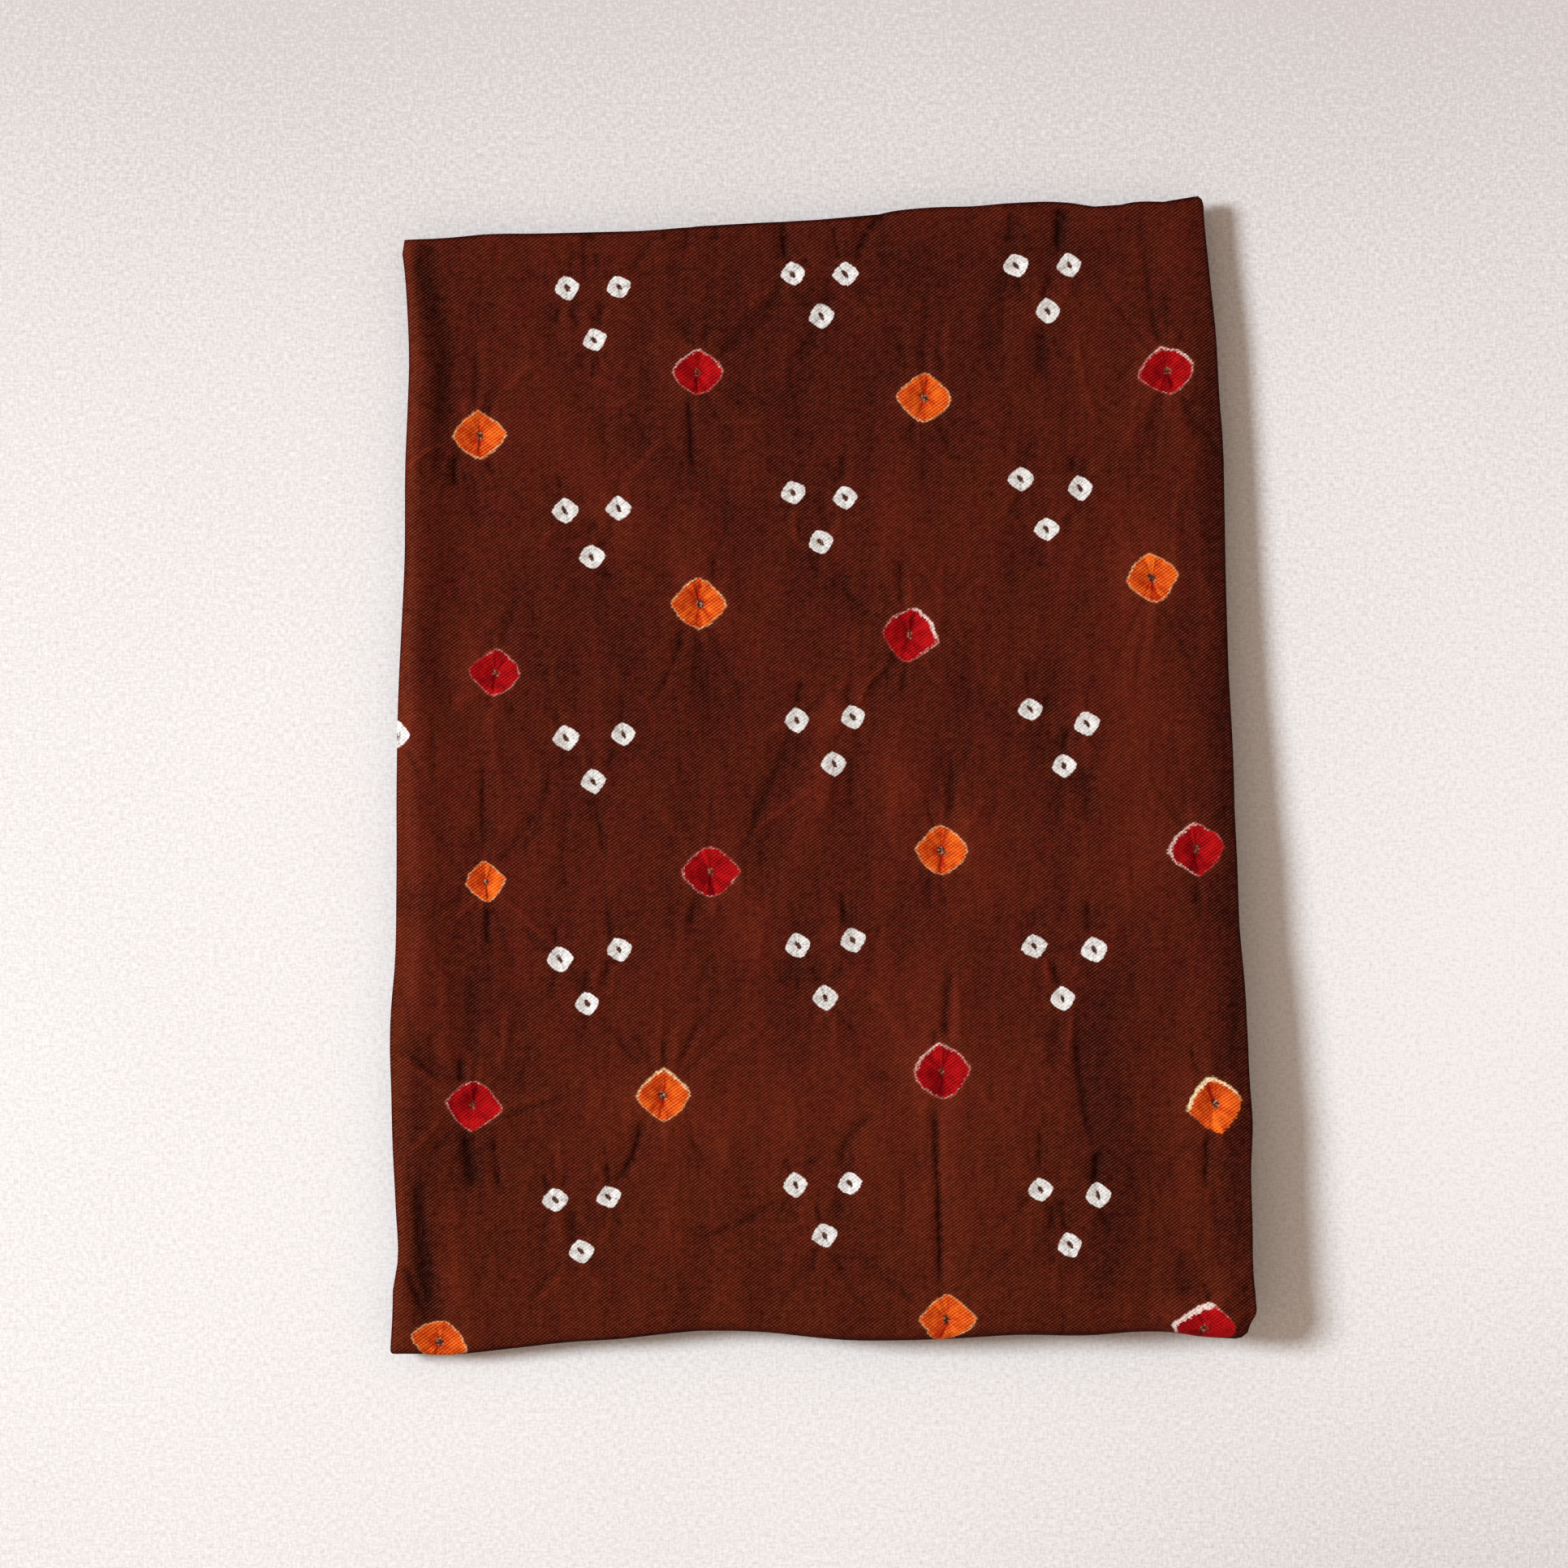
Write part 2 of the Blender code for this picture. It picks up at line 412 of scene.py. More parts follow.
DOTS = [
    Dot(-116.7, 115.1, ORANGE, 18.4, 16.6, 4, 0.00, 0.00, 0.965),
    Dot(-42.4, 136.5, RED, 17.6, 15.8, 0, 0.01, -0.03, 0.96),
    Dot(34.3, 127.7, ORANGE, 18.6, 17.0, -3, 0.00, 0.00, 0.97),
    Dot(116.5, 137.1, RED, 19.2, 16.6, 13, -0.02, -0.03, 0.95),
    Dot(-42.1, 57.9, ORANGE, 19.6, 17.6, 0, 0.00, -0.01, 0.965),
    Dot(-111.2, 34.5, RED, 17.6, 15.6, -6, -0.02, 0.00, 0.985),
    Dot(111.6, 66.7, ORANGE, 18.0, 17.0, 8, 0.01, 0.00, 0.965),
    Dot(29.6, 47.4, RED, 19.2, 18.4, -12, -0.04, -0.04, 0.955),
    Dot(-114.5, -36.4, ORANGE, 14.2, 14.0, 8, 0.00, 0.00, 0.965),
    Dot(-38.3, -32.9, RED, 19.2, 17.4, 3, 0.01, 0.00, 0.985),
    Dot(40.1, -25.7, ORANGE, 18.4, 17.2, 0, 0.00, -0.02, 0.965),
    Dot(126.2, -25.2, RED, 19.0, 18.2, 5, 0.06, -0.02, 0.96),
    Dot(-118.6, -112.3, RED, 19.0, 17.0, -6, 0.00, 0.00, 0.985),
    Dot(-54.0, -108.8, ORANGE, 18.4, 18.4, 0, 0.00, -0.04, 0.95),
    Dot(40.1, -100.5, RED, 19.6, 19.2, 8, 0.02, -0.03, 0.955),
    Dot(132.2, -111.4, ORANGE, 19.0, 19.4, 12, 0.02, -0.10, 0.96),
    Dot(42.0, -184.4, ORANGE, 19.2, 17.6, 0, 0.00, 0.00, 0.965),
    Dot(129.4, -187.4, RED, 21.0, 17.6, -10, 0.14, -0.10, 0.97),
    Dot(-130.1, -192.6, ORANGE, 20.2, 15.4, -17, 0.00, 0.00, 0.965),
    Dot(-144.8, 13.6, WHITE, 9.6, 9.4, 0, 0.00, 0.00, 0.965),
]
RING_WIDTH = 8.6
RING_HEIGHT = 8.2

# %% [markdown]
# ## Ties of the hidden layers
# The lattice goes on round the folds, so the underside is patterned as well. Those ties
# aren't seen in the packet, and a seeded stray puts each near its place on the lattice.
# Every tie gets a number of its own, which later picks its pucker and its outline.

# %% Continue the ties round the folds
LATTICE = 76.7
FIRST_COLUMN = -4
END_COLUMN = 4
LATTICE_ROWS = 21
Corner = namedtuple("Corner", "x y")
FIRST_DOT = Corner(-114.0, 124.0)
FIRST_TRIAD = Corner(-77.5, 160.0)
LAST_CHARTED_DOT = Corner(-160, -205)
LAST_CHARTED_TRIAD = Corner(-180, -215)
TRIAD_SHAPE = [Corner(-9, 0), Corner(9, 0), Corner(0, -16)]
HIDDEN_DOT_SIZE = (18.5, 17.4)
ties = []
stray = np.random.default_rng(11)
for triad in TRIADS:
    for x, y in ((triad.x1, triad.y1), (triad.x2, triad.y2), (triad.x3, triad.y3)):
        width, height = RING_WIDTH * stray.uniform(0.95, 1.07), RING_HEIGHT * stray.uniform(0.95, 1.07)
        ties.append(Dot(x, y, WHITE, width, height, stray.uniform(5, 20), 0.0, 0.0, 0.95))
ties.extend(DOTS)
for across_step in range(FIRST_COLUMN, END_COLUMN):
    for along_step in range(LATTICE_ROWS):
        x = FIRST_DOT.x + LATTICE * across_step
        y = FIRST_DOT.y - LATTICE * along_step
        if x < LAST_CHARTED_DOT.x or y < LAST_CHARTED_DOT.y:
            kind = ORANGE if (across_step + along_step) % 2 == 0 else RED
            x, y = x + stray.normal(0, 2.5), y + stray.normal(0, 3)
            ties.append(Dot(x, y, kind, *HIDDEN_DOT_SIZE, stray.uniform(-15, 15), 0.0, -0.03, 0.93))
        x = FIRST_TRIAD.x + LATTICE * across_step
        y = FIRST_TRIAD.y - LATTICE * along_step
        if x < LAST_CHARTED_TRIAD.x or y < LAST_CHARTED_TRIAD.y:
            for over in TRIAD_SHAPE:
                ring_x, ring_y = x + over.x + stray.normal(0, 1.2), y + over.y + stray.normal(0, 1.2)
                turn = stray.uniform(5, 20)
                ties.append(Dot(ring_x, ring_y, WHITE, RING_WIDTH, RING_HEIGHT, turn, 0.0, 0.0, 0.95))
tie_table = {name: np.array([getattr(tie, name) for tie in ties], dtype=float) for name in Dot._fields}
TOP_TIES = 3 * len(TRIADS) + len(DOTS)
print("ties on the top layer:", TOP_TIES, "and in all:", len(ties))

# %% [markdown]
# ## Main creases
# Where a tie was pulled, the cotton stays gathered: sharp little troughs run out of it,
# mostly along the warp, and some cross from one tie to the next. Each row is one crease
# in millimetres. It runs from one place to another, bows to its left side, sinks by its
# depth, or rises where the depth is negative, and has a half width.

# %% List the creases at the back left, in mm
Crease = namedtuple("Crease", "x0 y0 x1 y1 depth bow width", defaults=(0.0, 1.2))
CREASES_BACK_LEFT = [
    Crease(-117.5, 144.2, -117.5, 124.2, 0.50),
    Crease(-124.1, 108.5, -124.9, 97.5, 0.55),
    Crease(-114.7, 106.3, -110.6, 101.6, 0.40),
    Crease(-110.6, 101.6, -100.2, 92.0, 0.15),
    Crease(-80.9, 184.0, -80.4, 169.0, 0.40),
    Crease(-101.5, 171.7, -91.4, 166.5, 0.30),
    Crease(-53.4, 183.5, -64.4, 169.5, 0.38, bow=-1.9),
    Crease(-64.4, 169.5, -42.4, 172.3, 0.18),
    Crease(-45.2, 186.0, -46.5, 177.2, 0.40),
    Crease(-36.4, 187.0, -36.0, 181.0, 0.28),
    Crease(-85.9, 159.4, -82.3, 151.1, 0.40),
    Crease(-89.2, 158.5, -90.5, 152.5, 0.40),
    Crease(-74.9, 160.4, -76.0, 151.5, 0.55),
    Crease(-80.4, 142.9, -82.3, 137.4, 0.32),
    Crease(-74.0, 143.7, -72.1, 138.7, 0.32),
    Crease(-76.8, 177.2, -74.9, 170.4, 0.32),
    Crease(-46.5, 154.0, -45.7, 145.6, 0.42),
    Crease(-39.1, 153.0, -39.9, 144.8, 0.42),
    Crease(-45.4, 129.3, -43.8, 102.0, 0.65, width=1.1),
    Crease(-74.0, 122.2, -73.2, 97.5, 0.22),
    Crease(-89.2, 101.6, -88.6, 96.1, 0.32),
    Crease(-76.8, 86.5, -79.0, 81.0, 0.42),
    Crease(-74.0, 71.4, -71.3, 65.9, 0.32),
    Crease(-131.3, 180.0, -138.4, 169.2, 0.42, width=2.6),
    Crease(-138.0, 174.2, -128.7, 151.2, 0.45, width=3.4),
    Crease(-128.5, 158.0, -126.0, 118.0, 0.35, width=3.0),
    Crease(-126.8, 111.8, -141.3, 101.4, -0.45, bow=-2.5, width=1.0),
    Crease(-110.6, 127.7, -96.0, 141.5, -0.28),
    Crease(-58.9, 145.6, -53.4, 141.5, -0.28),
    Crease(-75.4, 123.6, -61.7, 127.7, -0.20),
    Crease(-53.4, 115.4, -67.2, 97.5, -0.28, width=1.3),
    Crease(-89.2, 84.3, -96.0, 78.2, -0.30),
    Crease(-78.4, 70.0, -77.9, 61.7, -0.25),
]
print("creases at the back left:", len(CREASES_BACK_LEFT))

# %% [markdown]
# ## Creases at the back right
# The loose end isn't held by a fold, so its gathers run out over the back edge. The
# deepest one comes in from that edge to a ring of the right triad.

# %% List the creases at the back right, in mm
CREASES_BACK_RIGHT = [
    Crease(-13.5, 187.5, -12.7, 174.5, 0.70),
    Crease(3.8, 187.0, 5.7, 174.0, 0.50),
    Crease(22.2, 190.8, 11.2, 172.5, 0.60, bow=-2.2, width=1.3),
    Crease(11.2, 166.2, 18.1, 164.0, 0.30),
    Crease(-12.2, 163.5, -36.9, 141.5, 0.30, bow=-0.7, width=1.6),
    Crease(80.8, 193.5, 80.5, 176.7, 0.95, width=1.9),
    Crease(64.3, 193.0, 64.0, 178.0, 0.38, width=1.6),
    Crease(78.6, 169.5, 74.5, 160.2, 0.50, bow=-0.8),
    Crease(74.5, 153.5, 74.5, 133.6, 0.55, width=2.2),
    Crease(107.5, 194.0, 111.0, 160.7, 0.28),
    Crease(111.0, 159.0, 114.9, 145.6, 0.40),
    Crease(40.1, 143.0, 40.9, 135.0, 0.35),
    Crease(31.0, 120.5, 30.5, 110.2, 0.42),
    Crease(7.9, 109.5, 6.0, 98.0, 0.42),
    Crease(85.5, 109.5, 84.6, 101.6, 0.38),
    Crease(-13.5, 167.6, -25.9, 158.0, -0.28),
    Crease(106.6, 127.7, 104.7, 121.6, -0.30),
    Crease(42.3, 153.5, 42.3, 135.2, -0.28),
    Crease(-9.7, 90.7, -8.9, 77.6, -0.40, width=1.0),
    Crease(6.3, 87.5, 3.3, 80.4, -0.38, width=1.4),
    Crease(85.5, 91.6, 79.0, 86.0, -0.30),
    Crease(123.0, 128.0, 128.0, 112.0, 0.30, width=2.0),
]
print("creases at the back right:", len(CREASES_BACK_RIGHT))

# %% [markdown]
# ## Creases in the middle, on the left
# Dots that stand above each other pull on the same warp threads. So a long shallow crease
# runs down to the orange dot from below the red one, with a ridge beside its start.

# %% List the creases in the middle, on the left, in mm
CREASES_MIDDLE_LEFT = [
    Crease(-36.4, 73.7, -36.9, 65.0, 0.38),
    Crease(-47.4, 50.4, -48.5, 41.5, 0.38),
    Crease(-112.5, 50.0, -111.7, 42.0, 0.38),
    Crease(-115.3, 8.7, -114.7, -29.0, 0.45, width=1.3),
    Crease(-140.0, 9.1, -136.3, -2.0, 0.42),
    Crease(-91.9, 7.7, -102.9, -30.4, 0.25, bow=2.3),
    Crease(-69.9, 9.1, -73.2, 1.2, 0.32),
    Crease(-76.8, -7.4, -73.2, -29.0, 0.38),
    Crease(-86.4, -4.3, -87.0, -29.0, 0.22),
    Crease(-113.9, -43.0, -113.1, -58.5, 0.60),
    Crease(-43.2, -41.8, -44.6, -52.0, 0.42),
    Crease(-90.5, -51.4, -90.3, -58.4, 0.32),
    Crease(-73.2, -44.5, -71.3, -57.5, 0.38, bow=0.5),
    Crease(-79.5, -65.1, -80.4, -73.5, 0.50),
    Crease(-72.1, -62.4, -74.0, -72.6, 0.38),
    Crease(-75.4, -79.9, -60.3, -100.5, 0.32, bow=-0.5),
    Crease(-116.7, 28.7, -125.9, 22.6, -0.38, width=2.0),
    Crease(-112.5, 25.6, -111.2, 0.2, -0.30, width=1.5),
    Crease(-101.0, 33.0, -92.0, 27.0, -0.22),
    Crease(-116.7, -41.8, -124.5, -49.0, -0.30),
    Crease(-102.9, -45.5, -91.9, -59.3, -0.25),
    Crease(-36.9, -41.8, -36.6, -49.3, -0.32),
    Crease(-76.0, -63.8, -77.6, -72.6, -0.32),
    Crease(-69.9, -63.8, -72.1, -76.8, -0.32),
    Crease(-79.0, -81.6, -76.8, -89.1, -0.28),
    Crease(-30.0, -40.0, -12.0, -52.0, -0.22),
]
print("creases in the middle, on the left:", len(CREASES_MIDDLE_LEFT))

# %% [markdown]
# ## Creases in the middle, on the right
# A few creases slant here, because they join a ring to a dot of the next column. The one
# from the middle triad to the red dot at its lower left is the longest of them.

# %% List the creases in the middle, on the right, in mm
CREASES_MIDDLE_RIGHT = [
    Crease(26.3, 73.7, 26.9, 56.6, 0.42),
    Crease(28.3, 38.5, 27.2, 28.0, 0.52),
    Crease(4.3, 71.0, 19.5, 51.4, 0.28, bow=-2.1),
    Crease(-7.2, 32.5, -8.3, 23.6, 0.52),
    Crease(8.5, 31.1, 8.5, 24.1, 0.38),
    Crease(-10.8, 12.9, -28.3, -27.3, 0.40, bow=0.7, width=1.4),
    Crease(9.8, 7.7, 9.8, -13.5, 0.32),
    Crease(75.8, 28.4, 76.4, 20.0, 0.38),
    Crease(69.8, 34.9, 69.5, 26.9, 0.32),
    Crease(84.0, 16.0, 80.8, 7.6, 0.52),
    Crease(89.6, 3.2, 89.6, -17.3, 0.45, width=2.8),
    Crease(43.7, 7.7, 43.7, -16.3, 0.38),
    Crease(36.0, -34.0, 36.5, -47.0, 0.42),
    Crease(122.6, 0.5, 122.6, -16.3, 0.25),
    Crease(127.3, -34.9, 126.7, -44.8, 0.38),
    Crease(6.5, -39.0, 7.6, -52.0, 0.52),
    Crease(-3.1, -63.8, -1.2, -71.3, 0.52),
    Crease(89.6, -41.8, 90.4, -54.0, 0.52),
    Crease(71.7, -44.5, 71.7, -53.0, 0.38),
    Crease(78.6, -63.8, 79.7, -71.8, 0.52),
    Crease(29.9, 66.0, 29.9, 57.0, -0.32),
    Crease(23.6, 38.9, 11.6, 22.0, -0.45, bow=-2.0, width=1.0),
    Crease(-1.2, -3.3, -32.4, -25.4, -0.38),
    Crease(40.6, -0.5, 40.6, -16.3, -0.32),
    Crease(49.7, -19.0, 55.2, -7.4, -0.25),
    Crease(14.0, -63.8, 7.1, -76.3, -0.32),
    Crease(4.3, -79.4, 3.8, -93.3, -0.30),
    Crease(12.6, -67.5, 29.1, -92.3, -0.22, bow=1.0),
    Crease(75.8, -61.0, 75.8, -68.5, -0.35, width=1.5),
    Crease(87.3, -63.8, 82.7, -71.3, -0.32),
    Crease(36.0, -9.0, 26.0, 2.0, -0.20),
]
print("creases in the middle, on the right:", len(CREASES_MIDDLE_RIGHT))

# %% [markdown]
# ## Creases at the front left
# The side fold and the front fold meet here, so the cloth is bent twice and gathers
# tightly. A wide trough and a low ridge run along the side fold towards the corner.

# %% List the creases at the front left, in mm
CREASES_FRONT_LEFT = [
    Crease(-122.4, -95.4, -122.4, -105.6, 0.90, width=1.4),
    Crease(-118.7, -66.5, -118.7, -96.0, 0.42, width=2.6),
    Crease(-142.2, -92.3, -129.4, -104.3, 0.38),
    Crease(-141.4, -74.8, -138.7, -90.5, 0.32),
    Crease(-121.3, -119.5, -118.0, -141.0, 0.85, width=2.0),
    Crease(-111.7, -120.5, -109.2, -142.8, 0.50, width=1.3),
    Crease(-98.8, -91.3, -102.9, -105.6, 0.30),
    Crease(-109.4, -117.0, -85.4, -108.3, 0.38),
    Crease(-54.0, -88.5, -53.4, -100.0, 0.48),
    Crease(-39.7, -80.3, -49.8, -100.1, 0.38),
    Crease(-61.2, -115.5, -69.9, -138.6, 0.60, bow=2.0),
    Crease(-72.9, -131.1, -72.7, -139.5, 0.52),
    Crease(-86.4, -135.3, -88.3, -140.6, 0.32),
    Crease(-94.7, -135.3, -92.5, -141.4, 0.38),
    Crease(-84.2, -146.3, -84.2, -157.5, 0.38),
    Crease(-87.8, -165.5, -99.8, -178.5, 0.28),
    Crease(-137.5, -134.0, -133.0, -188.0, 0.75, width=2.4),
    Crease(-142.0, -166.0, -133.5, -186.0, 0.50, width=1.3),
    Crease(-127.0, -140.0, -125.0, -181.0, -0.35, width=4.2),
    Crease(-129.0, -63.8, -127.7, -101.5, -0.45, width=2.4),
    Crease(-142.0, -97.3, -127.0, -107.9, -0.38),
    Crease(-129.4, -117.4, -141.0, -130.4, -0.38),
    Crease(-109.4, -112.9, -88.2, -108.3, -0.32),
    Crease(-105.7, -77.5, -109.8, -101.5, -0.32, width=1.4),
    Crease(-54.8, -77.5, -55.6, -98.8, -0.32),
    Crease(-48.5, -83.0, -50.1, -98.8, -0.28),
    Crease(-42.9, -115.1, -34.5, -121.6, -0.32),
    Crease(-32.8, -121.5, -32.2, -134.5, -0.25),
    Crease(-53.4, -117.8, -52.9, -131.8, -0.32),
    Crease(-89.2, -121.5, -89.2, -135.9, -0.32),
    Crease(-89.2, -149.0, -88.6, -159.3, -0.32),
    Crease(-71.3, -149.0, -75.4, -160.6, -0.30),
    Crease(-86.4, -168.0, -97.4, -180.0, -0.28),
    Crease(-45.0, -104.0, -20.0, -86.0, -0.20),
]
print("creases at the front left:", len(CREASES_FRONT_LEFT))

# %% [markdown]
# ## Creases at the front right
# The longest crease of all drops from the red dot to the orange one on the front fold. To
# its right a bowed one deepens until it ends in a sharp pinch above a ring.

# %% List the creases at the front right, in mm
CREASES_FRONT_RIGHT = [
    Crease(86.0, -79.3, 92.9, -129.0, 0.52, bow=-2.0, width=1.5),
    Crease(93.2, -127.0, 92.1, -138.6, 0.90, width=1.4),
    Crease(78.6, -80.3, 78.6, -101.5, 0.42, width=2.6),
    Crease(19.5, -114.6, 6.0, -134.5, 0.52, bow=-4.1, width=1.3),
    Crease(-7.2, -134.0, -0.7, -129.7, 0.38),
    Crease(-12.7, -129.8, -10.0, -135.9, 0.38),
    Crease(-13.5, -143.5, -43.4, -157.9, 0.42, bow=1.4, width=1.3),
    Crease(-1.7, -144.9, -0.6, -152.4, 0.52),
    Crease(7.1, -144.9, 4.3, -151.0, 0.38),
    Crease(-3.9, -162.8, -14.9, -181.3, 0.22),
    Crease(4.3, -161.4, 7.1, -170.3, 0.38),
    Crease(9.8, -160.0, 32.8, -179.9, 0.32),
    Crease(38.7, -85.8, 37.3, -93.3, 0.38),
    Crease(42.8, -63.8, 41.5, -91.0, 0.62, width=1.6),
    Crease(37.9, -108.0, 40.4, -176.8, 0.80, width=1.2),
    Crease(14.0, -100.5, 30.1, -104.9, 0.22),
    Crease(73.6, -118.8, 73.1, -135.5, 0.42),
    Crease(80.0, -143.5, 82.7, -154.8, 0.52),
    Crease(77.2, -143.5, 76.4, -156.5, 0.42, bow=1.0),
    Crease(95.6, -147.6, 97.8, -156.5, 0.38),
    Crease(124.0, -90.8, 127.5, -102.0, 0.38),
    Crease(130.3, -119.6, 129.2, -140.0, 0.60, width=1.1),
    Crease(122.0, -160.0, 122.6, -178.5, 0.42, width=2.6),
    Crease(128.9, -171.0, 130.8, -179.0, 0.42),
    Crease(144.6, -182.0, 139.5, -189.5, 0.42),
    Crease(45.6, -70.0, 45.3, -92.0, -0.42, width=1.5),
    Crease(84.9, -78.9, 82.7, -98.8, -0.32),
    Crease(-7.2, -146.3, -6.7, -153.8, -0.32),
    Crease(78.6, -165.5, 78.6, -175.8, -0.32),
    Crease(52.0, -106.0, 64.0, -118.0, -0.22),
]
CREASES = (
    CREASES_BACK_LEFT
    + CREASES_BACK_RIGHT
    + CREASES_MIDDLE_LEFT
    + CREASES_MIDDLE_RIGHT
    + CREASES_FRONT_LEFT
    + CREASES_FRONT_RIGHT
)
print("creases placed by hand:", len(CREASES))

# %% [markdown]
# ## Darker and paler bands
# Soft bands of painted shade and painted highlight stand for the light and shade of broad
# folds: dark where the depth is negative and pale where it is positive. They are rows of
# the same kind, only as wide as a thumb.

# %% List the bands of painted light and shade in mm
# Bands of painted light and shade, added to the cloth's colour.
SHADE_BANDS = [
    Crease(-80.0, 128.0, 96.0, -8.0, -1.0, width=7.0),
    Crease(-110.0, 128.0, 64.0, -40.0, 1.0, width=9.0),
    Crease(-134.0, 180.0, -128.0, 95.0, -1.6, width=5.0),
    Crease(-143.0, 30.0, -134.0, -40.0, 1.5, width=10.0),
    Crease(-143.0, -45.0, -136.0, -90.0, 1.3, width=8.0),
    Crease(-118.0, -45.0, -116.0, -85.0, -1.2, width=4.5),
    Crease(-123.0, -105.0, -119.0, -140.0, -1.5, width=6.0),
    Crease(-139.0, -110.0, -132.0, -196.0, -1.2, width=5.0),
    Crease(-104.0, -10.0, -103.0, -75.0, 1.0, width=4.0),
    Crease(-30.0, -30.0, -26.0, -66.0, 1.3, width=9.0),
    Crease(56.0, -14.0, 54.0, -48.0, 1.2, width=11.0),
    Crease(104.0, 100.0, 106.0, -50.0, 1.7, width=9.0),
    Crease(134.0, 240.0, 142.0, -190.0, -2.4, width=7.0),
    Crease(-60.0, 170.0, 70.0, 130.0, -1.0, width=34.0),
    Crease(-90.0, -115.0, 90.0, -112.0, 0.9, width=34.0),
    Crease(-100.0, 60.0, 0.0, 20.0, -0.7, width=30.0),
    Crease(92.0, -60.0, 98.0, -180.0, -1.8, width=10.0),
    Crease(30.0, -55.0, 42.0, -180.0, 1.2, width=11.0),
    Crease(118.0, -85.0, 134.0, -185.0, 0.9, width=7.0),
    Crease(-12.0, -65.0, -9.0, -100.0, -1.0, width=8.0),
    Crease(15.0, 172.0, 105.0, 178.0, -1.2, width=9.0),
    Crease(-11.0, 140.0, -8.0, 80.0, -0.8, width=12.0),
    Crease(-85.0, -112.0, -5.0, -118.0, 0.8, width=10.0),
    Crease(-120.0, 60.0, -112.0, -20.0, 0.6, width=9.0),
    Crease(35.0, 110.0, 38.0, 50.0, 0.6, width=12.0),
]
print("bands of dye:", len(SHADE_BANDS))

# %% [markdown]
# ## Broad relief
# Some forms are as wide as a hand rather than a finger. The packet swells between its
# ties, the left fold is a soft roll that stands above the sheet beside it, and the open
# edges on the right droop. All the layers share these, the upper ones most.

# %% Shape the broad relief
Swell = namedtuple("Swell", "x y half_width half_length rise")
SWELLS = [
    Swell(62.0, -150.0, 30.0, 34.0, 1.1),
    Swell(-58.0, -70.0, 22.0, 70.0, 0.9),
    Swell(24.0, 40.0, 24.0, 80.0, 0.8),
    Swell(105.0, -20.0, 22.0, 60.0, 0.8),
    Swell(-104.0, 60.0, 18.0, 70.0, 0.5),
    Swell(58.0, 130.0, 14.0, 50.0, 0.6),
    Swell(-30.0, 20.0, 14.0, 60.0, -0.5),
    Swell(-62.0, 40.0, 10.0, 60.0, 0.4),
    Swell(94.0, 120.0, 10.0, 40.0, -0.4),
    Swell(98.0, -100.0, 12.0, 45.0, 0.5),
    Swell(20.0, -60.0, 12.0, 50.0, -0.4),
    Swell(-20.0, -120.0, 14.0, 40.0, -0.4),
    Swell(112.0, -150.0, 8.0, 40.0, -0.5),
]
Roll = namedtuple("Roll", "y crest rise fall")
LEFT_ROLL = [
    Roll(y=-190, crest=2.5, rise=0.8, fall=6.0),
    Roll(y=-140, crest=5.0, rise=1.6, fall=9.0),
    Roll(y=-60, crest=9.0, rise=2.2, fall=11.0),
    Roll(y=0, crest=7.0, rise=2.4, fall=9.0),
    Roll(y=60, crest=4.5, rise=3.2, fall=8.0),
    Roll(y=140, crest=4.0, rise=2.7, fall=8.0),
    Roll(y=170, crest=3.5, rise=1.3, fall=6.0),
    Roll(y=182, crest=3.5, rise=0.7, fall=6.0),
]
ROLL_OUTER = 3.2 * MM
DROOP = 1.0 * MM
DROOP_WIDTH = 5.5 * MM


def bell(x):
    """A bell curve, 1 in the middle and 1/e at one half width."""
    return np.exp(-(x**2))


def broad_relief(x, y):
    """Height that the whole packet shares: the swells, the left roll and the right droop."""
    total = np.zeros_like(x)
    for swell in SWELLS:
        over_x = (x / MM - swell.x) / swell.half_width
        over_y = (y / MM - swell.y) / swell.half_length
        total += swell.rise * MM * bell(over_x) * bell(over_y)
    stations = column(LEFT_ROLL, "y")
    crest, rise, fall = [
        smooth_curve(y, stations, column(LEFT_ROLL, name)) for name in ("crest", "rise", "fall")
    ]
    from_crest = x - left_edge(y) - crest
    total += rise * bell(from_crest / np.where(from_crest < 0, ROLL_OUTER, fall))
    return total - DROOP * bell((right_edge(y) - x) / DROOP_WIDTH)


broad = broad_relief(fine.x, fine.y)
print("broad relief in mm:", np.round(broad.min() / MM, 2), "to", np.round(broad.max() / MM, 2))

# %% [markdown]
# ## Fine relief
# The creases are summed with the puckers of each tie. A tie leaves a pit at its middle, a
# low bank round it and a few gathers that run out of it, mostly up and down the cloth.
# Faint waves along the warp keep the plain ground from looking pressed.

# %% Shape the fine relief
PULL = 1.1
SOFTNESS = 1.35
GATHERS = 10
GATHER_SPREAD = 28
GATHER_START = 0.30
FAINT_FOLDS = 130
FAINT_X = (-138, 132)
FAINT_Y = (-180, 185)
FAINT_RUN = (12, 50)
WAVES = 70
SHORTEST_WAVE = 5 * MM
LONGEST_WAVE = 34 * MM
WAVE_SHARE = 0.0016
PIT_SHARE = 0.42
Pucker = namedtuple("Pucker", "pit bank reach gather")
RING_PUCKER = Pucker(pit=0.85 * MM, bank=0.20 * MM, reach=16 * MM, gather=0.22 * MM)
DOT_PUCKER = Pucker(pit=1.50 * MM, bank=0.50 * MM, reach=38 * MM, gather=0.24 * MM)


def place_in_crease(x, y, crease):
    """Distance aside of a crease's bowed line, in half widths, and the share of its length."""
    run_x, run_y = crease.x1 - crease.x0, crease.y1 - crease.y0
    length = np.hypot(run_x, run_y)
    run_x, run_y = run_x / length, run_y / length
    from_x, from_y = x - crease.x0, y - crease.y0
    along = (from_x * run_x + from_y * run_y) / length
    inside = np.clip(along, 0, 1)
    aside = from_y * run_x - from_x * run_y - crease.bow * 4 * inside * (1 - inside)
    return aside / crease.width, along


